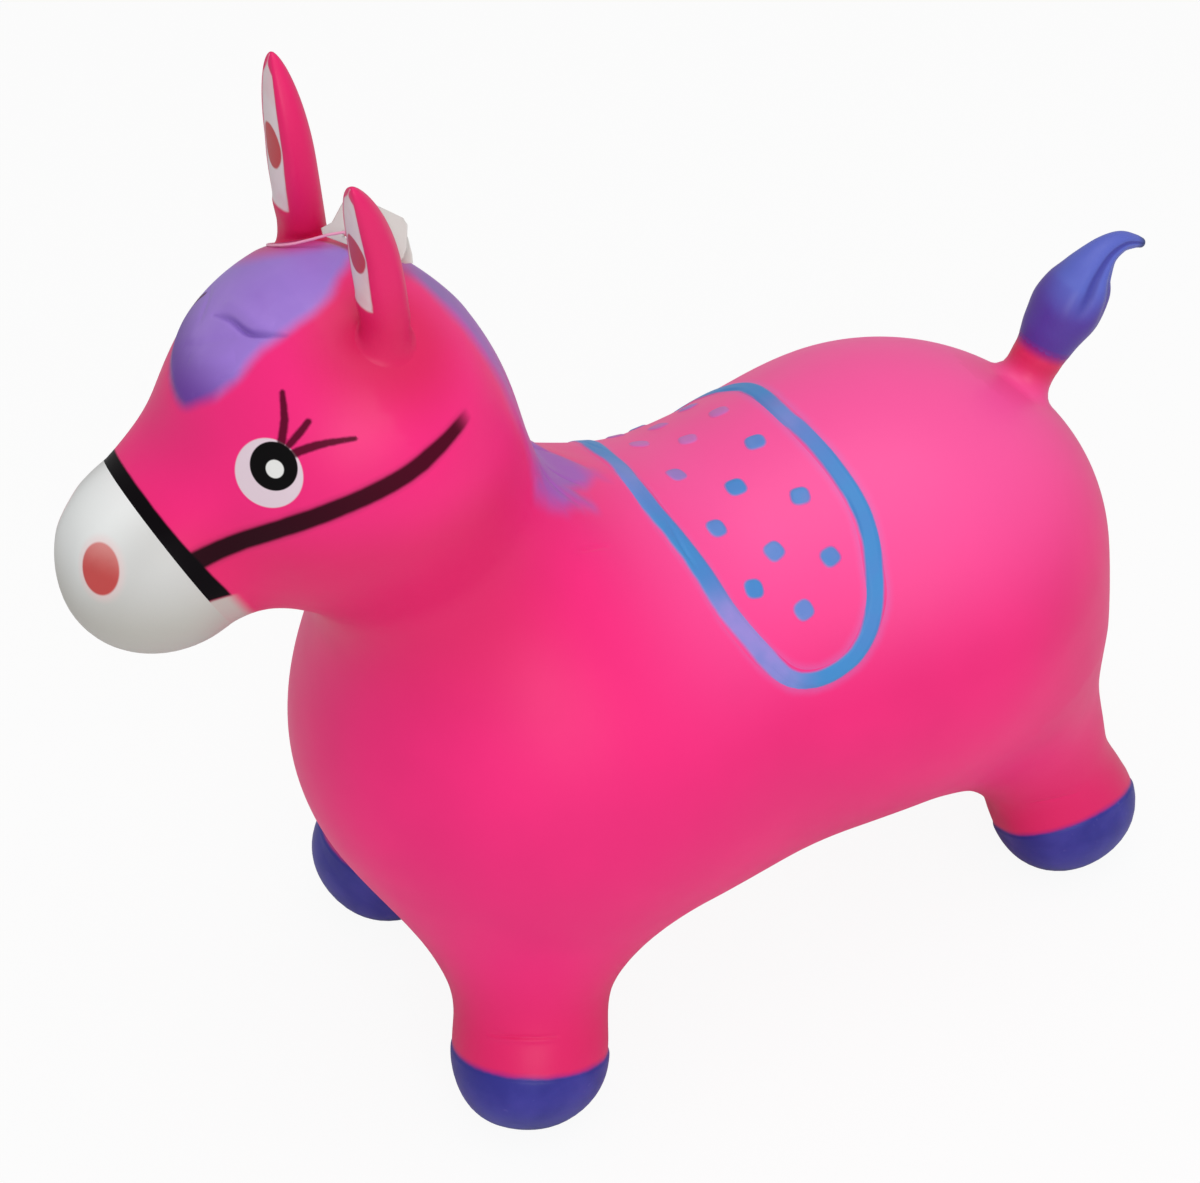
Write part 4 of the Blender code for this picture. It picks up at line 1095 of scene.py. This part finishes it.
def ear(word, finish):
    side, hinge = SIDES[word], EAR_HINGES[word]
    angles = turns(EAR_SIDES)
    foot = skin_along(hinge - vector((0, 0, 0.03)), vector((0, 0, 1.0)))
    normal = unit(gradient(skin_field, foot[None])[0])
    first = EAR_FILLET_TOP / EAR_LENGTH
    wall = ear_ring(word, first, angles)
    corner = ear_ring(word, 0, angles)
    rings, heights, feet = [], [], []
    for a in angles:
        out = vector((side * math.cos(a), math.sin(a), 0))
        out = unit(out - normal * (out @ normal))
        feet.append(foot + out * EAR_ROOT_RADIUS * EAR_FOOT)
    feet = settle(vector(feet))
    slope = gradient(skin_field, feet) - gradient(relief, feet)
    feet = feet + normal * (relief(feet)[:, None] - 0.0002)
    base = settle(vector([foot + (p - hinge) - normal * ((p - hinge) @ normal) for p in corner]))
    for s in np.linspace(0, 1, 8)[:-1]:
        low, middle, high = (1 - s) ** 2, 2 * s * (1 - s), s * s
        rings.append([low * f + middle * c + high * w for f, c, w in zip(feet, base, wall)])
        heights.append(0.0)
    round_end = 1 - 0.1 * np.cos(np.linspace(0, 1, 9)[1:] * math.pi / 2) ** 1.6
    shares = np.concatenate([np.linspace(first, 0.9, 46), round_end])
    shares = shares[shares < 0.9985]
    for share in shares:
        rings.append(ear_ring(word, share, angles))
        heights.append(share)
    verts, faces = loft(rings, ear_middle(word, EAR_LENGTH))
    if side < 0:
        faces = [face[::-1] for face in faces]
    height = np.repeat(heights, len(angles))
    angle = np.tile(angles, len(rings))
    facing = -np.sin(angle)
    width = np.array([ear_section(h)[0] for h in heights]).repeat(len(angles))
    aside = width * np.abs(np.cos(angle))
    half = EAR_FACE * width * smooth(height, 0.97, 0.88)
    face_edge = np.maximum(aside - half, (EAR_FACE_FOOT - height) * EAR_LENGTH)
    face_edge = np.where(facing > 0, face_edge, 0.01)
    place, half_width, half_height = EAR_SPOT
    up = (height - place) * EAR_LENGTH
    spot = (np.hypot(aside / half_width, up / half_height) - 1) * half_width
    spot = np.where(facing > 0, spot, 0.01)
    facts = {"ear_foot": ear_foot_distance(vector(verts)), "ear_face": np.append(face_edge, 0.01),
             "ear_spot": np.append(spot, 0.01)}
    obj = add_piece(word + "_ear_skin", verts, faces, finish, units(slope), facts)
    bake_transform(obj)
    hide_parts(word + "_ear")


def tail_spokes(t, angles):
    """Outward directions round the tail at station number t."""
    direction = tail_direction(t)
    up = vector((0, -direction[2], direction[1]))
    return [math.cos(a) * vector((1, 0, 0)) + math.sin(a) * up for a in angles]


def tuft(finish):
    """Lock of hair at the tail's end, with valleys that wind round it to the tip."""
    last = len(TAIL_RADII) - 1
    angles = turns(TUFT_SIDES)
    stations = np.linspace(TAIL_PAINT_STATION, last, TUFT_RINGS)
    middle, radius = tail_place(TAIL_PAINT_STATION)
    direction = tail_direction(TAIL_PAINT_STATION)
    outward = tail_spokes(TAIL_PAINT_STATION, angles)
    lips = [np.linalg.norm(skin_along(middle, out) - middle) for out in outward]
    back = middle - direction * TUFT_OVERLAP
    rings = [[back + (lip - TUFT_TUCK) * out for lip, out in zip(lips, outward)]]
    lips = vector(lips) - radius
    share, valleys = [0.0] * len(angles), [0.0] * len(angles)
    for t in stations:
        middle, radius = tail_place(t)
        s = (t - TAIL_PAINT_STATION) / (last - TAIL_PAINT_STATION)
        depth = TUFT_DEPTH * smooth(s, 0.12, 0.45) * smooth(s, 1.0, 0.85)
        ring = []
        for a, out, lip in zip(angles, tail_spokes(t, angles), lips * smooth(s, 0.15, 0.0)):
            valley = 0.0
            for place, twist, weight in TUFT_VALLEYS:
                gap = (a - place - twist * (s - 0.5) + math.pi) % (2 * math.pi) - math.pi
                valley = max(valley, weight * math.exp(-(gap / TUFT_VALLEY_WIDTH) ** 2))
            ring.append(middle + (lip + radius * (1 + 0.15 * depth - depth * valley)) * out)
            valleys.append(valley * smooth(s, 0.10, 0.45))
        rings.append(ring)
        share += [s] * len(angles)
    middle, radius = tail_place(last)
    direction = tail_direction(last)
    for turn in np.linspace(0, 1, 7)[1:-1] * math.pi / 2:
        rings.append([middle + direction * 0.8 * radius * math.sin(turn) + radius * math.cos(turn) * out
                      for out in tail_spokes(last, angles)])
        share += [1.0] * len(angles)
        valleys += [0.0] * len(angles)
    verts, faces = loft(rings, middle + direction * 0.8 * radius)
    faces = [face[::-1] for face in faces]
    violet = vector(share) - 0.17 * (1 - np.cos(np.tile(angles, len(rings)) - 0.9))
    obj = add_piece("tail_tuft_skin", verts, faces, finish, outward + outward,
                    {"station": share + [1.0], "valley": valleys + [0.0], "violet": np.append(violet, 1.0)})
    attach(obj, "tail")
    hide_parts("tail_tuft")


# Moulded marks of the saddle

def saddle_band(finish):
    """Raised ridge along the saddle's outline, on both sides and across the back."""
    loop = np.concatenate([SADDLE_LINE, (SADDLE_LINE * (-1, 1, 1))[-2:0:-1]])
    for _ in range(3):
        loop = (np.roll(loop, 1, 0) + 2 * loop + np.roll(loop, -1, 0)) / 4
    loop = settle(loop)
    tangent = units(np.roll(loop, -1, 0) - np.roll(loop, 1, 0))
    side = np.cross(tangent, gradient(skin_field, loop))
    width, height = SADDLE_RIDGE
    offsets = np.linspace(-1, 1, 21)
    turn = np.linspace(0, 2 * math.pi, len(loop), endpoint=False)
    wander = 0.0008 * np.sin(5 * turn + 0.6) + 0.0005 * np.sin(11 * turn)
    columns, across = [], []
    wider = 1 + (SADDLE_FRONT - 1) * smooth(loop[:, 1], 0.030, 0.005)[:, None]
    for u in offsets:
        p = settle(loop + side * u * width * wider)
        g = gradient(skin_field, p)
        rise = height * float(smooth(abs(u), 1.0, 0.45)) - MARK_SINK * abs(u) ** 8
        columns.append(p + g * (rise + relief(p)[:, None]))
        across.append(np.abs(u * width - wander))
    verts = np.concatenate(columns)
    n = len(loop)
    faces = []
    for k in range(len(offsets) - 1):
        for i in range(n):
            j = (i + 1) % n
            faces.append([k * n + i, (k + 1) * n + i, (k + 1) * n + j, k * n + j])
    purple = smooth(loop[:, 1], 0.040, 0.010) * smooth(loop[:, 2], 0.285, 0.268)
    purple = np.maximum(purple, 0.5 * smooth(np.abs(loop[:, 0]), 0.035, 0.0))
    obj = add_piece("saddle_band", verts, faces, finish, None,
                    {"across": np.concatenate(across), "purple": np.tile(purple, len(offsets)),
                     "worn": np.ones(len(verts))})
    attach(obj, "horse")


def saddle_dots(finish):
    """Low rounded bumps within the saddle, each a rounded square turned its own way."""
    radius, height = DOT_SIZE
    verts, faces, across, purple, worn = [], [], [], [], []
    rings, spokes = 7, 28
    centres = [skin_point((side * x, y, z)) for x, y, z in DOTS for side in SIDES.values()]
    centres += [skin_point(place) for place in RIDGE_DOTS]
    for number, centre in enumerate(centres):
        normal = unit(gradient(skin_field, centre[None])[0])
        u = unit(np.cross(normal, (0, 1, 0.2)))
        v = np.cross(normal, u)
        first = len(verts)
        tilt = 0.3 * math.sin(5.3 * number)
        grow = 1 + 0.07 * math.sin(3.1 * number)
        p, r = [centre], [0.0]
        for k in range(1, rings + 1):
            for i in range(spokes):
                a = 2 * math.pi * i / spokes
                square = 1 - 0.05 * math.cos(4 * (a - tilt)) + 0.04 * math.cos(a + number)
                reach = radius * grow * square * k / rings
                p.append(centre + reach * (u * math.cos(a) + v * math.sin(a)))
                r.append(k / rings)
        p, r = settle(vector(p)), vector(r)
        rise = height * smooth(r, 1.0, 0.55) - MARK_SINK * r ** 8 + relief(p)
        p = p + gradient(skin_field, p) * rise[:, None]
        verts += list(p)
        across += list(r * radius)
        rubbed = float(smooth(centre[0], 0.012, -0.012) * smooth(centre[0], -0.075, -0.062))
        if centre[1] > 0.05:
            rubbed *= float(smooth(centre[0], -0.01, -0.03))
        purple += [0.25 + 0.25 * math.sin(2.3 * number) + 0.4 * rubbed] * len(p)
        worn += [1 - 0.55 * rubbed] * len(p)
        for i in range(spokes):
            j = (i + 1) % spokes
            faces.append([first, first + 1 + i, first + 1 + j])
            for k in range(rings - 1):
                inner, outer = first + 1 + k * spokes, first + 1 + (k + 1) * spokes
                faces.append([inner + i, outer + i, outer + j, inner + j])
    facts = {"across": across, "purple": purple, "worn": worn}
    obj = add_piece("saddle_dots", verts, faces, finish, None, facts)
    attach(obj, "horse")


# Card tag

def leaf(bm, left, right, splay):
    """One leaf of the folded card, with its punched hole."""
    columns, rows = 60, 36
    heights = np.linspace(0, 1, rows + 1)
    stops = np.linspace(0, 1, len(left))
    edges = [[np.interp(heights, stops, line) for line in vector(side).T] for side in (left, right)]
    grid = []
    for a, b in zip(*[np.stack(edge, 1) for edge in edges]):
        row = []
        for u in np.linspace(0, 1, columns + 1):
            along, up = a + (b - a) * u
            offset = (along - TAG_HOLE[0], up - TAG_HOLE[1])
            gap = math.hypot(*offset)
            if TAG_HOLE[2] * 0.75 < gap < TAG_HOLE[2] * 1.3:
                along, up = [TAG_HOLE[k] + offset[k] * TAG_HOLE[2] / gap for k in (0, 1)]
            bend = splay * u + TAG_WAVE * math.sin(0.19 * along + 0.25 * up) * smooth(u, 0.02, 0.3)
            point = TAG_ORIGIN + (TAG_ALONG * along + TAG_UP * up) / 1000 + TAG_ACROSS * bend
            row.append((bm.verts.new(point), gap < TAG_HOLE[2] * 0.75))
        grid.append(row)
    for low, high in zip(grid, grid[1:]):
        for k in range(columns):
            corners = (low[k], low[k + 1], high[k + 1], high[k])
            if not any(inside for _, inside in corners):
                bm.faces.new([vert for vert, _ in corners])


def hang_tag(finish):
    bm = bmesh.new()
    for left, right, splay in TAG_LEAVES:
        leaf(bm, left, right, splay)
    bmesh.ops.delete(bm, geom=[v for v in bm.verts if not v.link_faces], context='VERTS')
    bmesh.ops.solidify(bm, geom=bm.faces[:], thickness=TAG_CARD)
    verts = [tuple(v.co) for v in bm.verts]
    bm.verts.index_update()
    faces = [[v.index for v in f.verts] for f in bm.faces]
    bm.free()
    obj = add_piece("hang_tag_card", verts, faces, finish)
    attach(obj, "tag")
    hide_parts("hang_tag")


# Studio

CAMERA_TURN, CAMERA_RISE = 61.06, 40.8  # degrees
CAMERA_AIM, CAMERA_DISTANCE, CAMERA_LENS = (-0.1247, 0.0427, 0.1165), 1.566, 85.43
WORLD_LIGHT = 0.60
FLOOR_GREY, FLOOR_RADIUS = (0.78, 0.78, 0.78, 1), 4.0
FLOOR_WHITENED = 0.92  # share of plain white in the floor that the camera sees


def camera():
    azimuth, elevation = math.radians(CAMERA_TURN), math.radians(CAMERA_RISE)
    back = Vector((math.sin(azimuth) * math.cos(elevation), -math.cos(azimuth) * math.cos(elevation),
                   math.sin(elevation)))
    data = bpy.data.cameras.new("camera")
    data.sensor_width = 36
    data.lens = CAMERA_LENS
    obj = add_object("camera", data)
    obj.location = Vector(CAMERA_AIM) + back * CAMERA_DISTANCE
    obj.rotation_euler = back.to_track_quat('Z', 'Y').to_euler()
    bpy.context.scene.camera = obj


def area_light(name, place, target, size, power):
    data = bpy.data.lights.new(name, 'AREA')
    data.shape = 'DISK'
    data.size = size
    data.energy = power
    obj = add_object(name, data)
    obj.location = place
    obj.rotation_euler = (Vector(place) - Vector(target)).to_track_quat('Z', 'Y').to_euler()


def studio():
    world = bpy.data.worlds.new("studio")
    bpy.context.scene.world = world
    world.use_nodes = True
    tree = world.node_tree
    background = tree.nodes["Background"]
    paths = tree.nodes.new("ShaderNodeLightPath")
    seen = tree.nodes.new("ShaderNodeMapRange")
    seen.inputs["To Min"].default_value = WORLD_LIGHT
    tree.links.new(paths.outputs["Is Camera Ray"], seen.inputs["Value"])
    background.inputs["Color"].default_value = (1, 1, 1, 1)
    tree.links.new(seen.outputs["Result"], background.inputs["Strength"])
    area_light("overhead", (0.1, 0.1, 1.8), (0, 0, 0.2), 1.4, 7)
    area_light("side", (1.7, -0.5, 1.2), (0, 0, 0.25), 1.4, 14)
    bm = bmesh.new()
    bmesh.ops.create_circle(bm, cap_ends=True, segments=96, radius=FLOOR_RADIUS)
    mesh = bpy.data.meshes.new("floor")
    bm.to_mesh(mesh)
    bm.free()
    floor = add_object("floor", mesh)
    floor.location.z = -0.0002
    material = bpy.data.materials.new("floor")
    material.use_nodes = True
    tree = material.node_tree
    shader = tree.nodes["Principled BSDF"]
    for key, value in (("Base Color", FLOOR_GREY), ("Roughness", 0.9), ("Specular IOR Level", 0.1)):
        shader.inputs[key].default_value = value
    glow = tree.nodes.new("ShaderNodeEmission")
    glow.inputs["Color"].default_value = (1, 1, 1, 1)
    mixed = tree.nodes.new("ShaderNodeMixShader")
    paths = tree.nodes.new("ShaderNodeLightPath")
    share = tree.nodes.new("ShaderNodeMath")
    share.operation = 'MULTIPLY'
    share.inputs[1].default_value = FLOOR_WHITENED
    for source, socket in ((paths.outputs["Is Camera Ray"], share.inputs[0]),
                           (share.outputs[0], mixed.inputs["Fac"]),
                           (shader.outputs["BSDF"], mixed.inputs[1]),
                           (glow.outputs["Emission"], mixed.inputs[2]),
                           (mixed.outputs["Shader"], tree.nodes["Material Output"].inputs["Surface"])):
        tree.links.new(source, socket)
    mesh.materials.append(material)
    bpy.context.scene.view_settings.view_transform = 'Standard'


def repaint(node, material):
    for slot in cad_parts[node].material_slots:
        slot.material = material


camera()
studio()
pink, leg_pink, purple = skin_finish(), limb_finish("pink_vinyl_leg"), limb_finish("purple_vinyl_hoof")
finishes = {"skin": ("body_skin", pink), "muzzle": ("muzzle_skin", muzzle_finish()),
            "tail_root": ("tail_root_skin", tail_root_finish())}
for name, _, _ in leg_lines():
    finishes[name + "_leg"] = (name + "_leg_skin", leg_pink)
    finishes[name + "_hoof"] = (name + "_hoof_skin", purple)
pieces = build_skin(finishes)

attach(pieces["skin"], "horse")
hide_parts("torso", "neck", "head")
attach(pieces["muzzle"], "horse")
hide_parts("muzzle")
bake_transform(pieces["tail_root"])
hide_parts("tail_root")
for name, foot, down in leg_lines():
    leg, hoof = pieces[name + "_leg"], pieces[name + "_hoof"]
    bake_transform(leg)
    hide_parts(name + "_leg")
    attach(hoof, name + "_foot")
    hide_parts(name + "_hoof")

ear_paint = ear_finish()
ear("left", ear_paint)
ear("right", ear_paint)
tuft(tuft_finish())
saddle_band(saddle_finish(SADDLE_PAINT))
saddle_dots(saddle_finish(DOT_PAINT))
repaint("valve_collar", plain_finish("soft_valve_vinyl", VALVE_WHITE, 0.45, 11.0))
repaint("valve_plug", plain_finish("valve_plug_plastic", VALVE_WHITE, 0.38, 12.0))
hang_tag(plain_finish("tag_card", CARD_WHITE, 0.62, 13.0))
repaint("tag_loop", plain_finish("loop_plastic", LOOP_PINK, 0.30, 14.0))
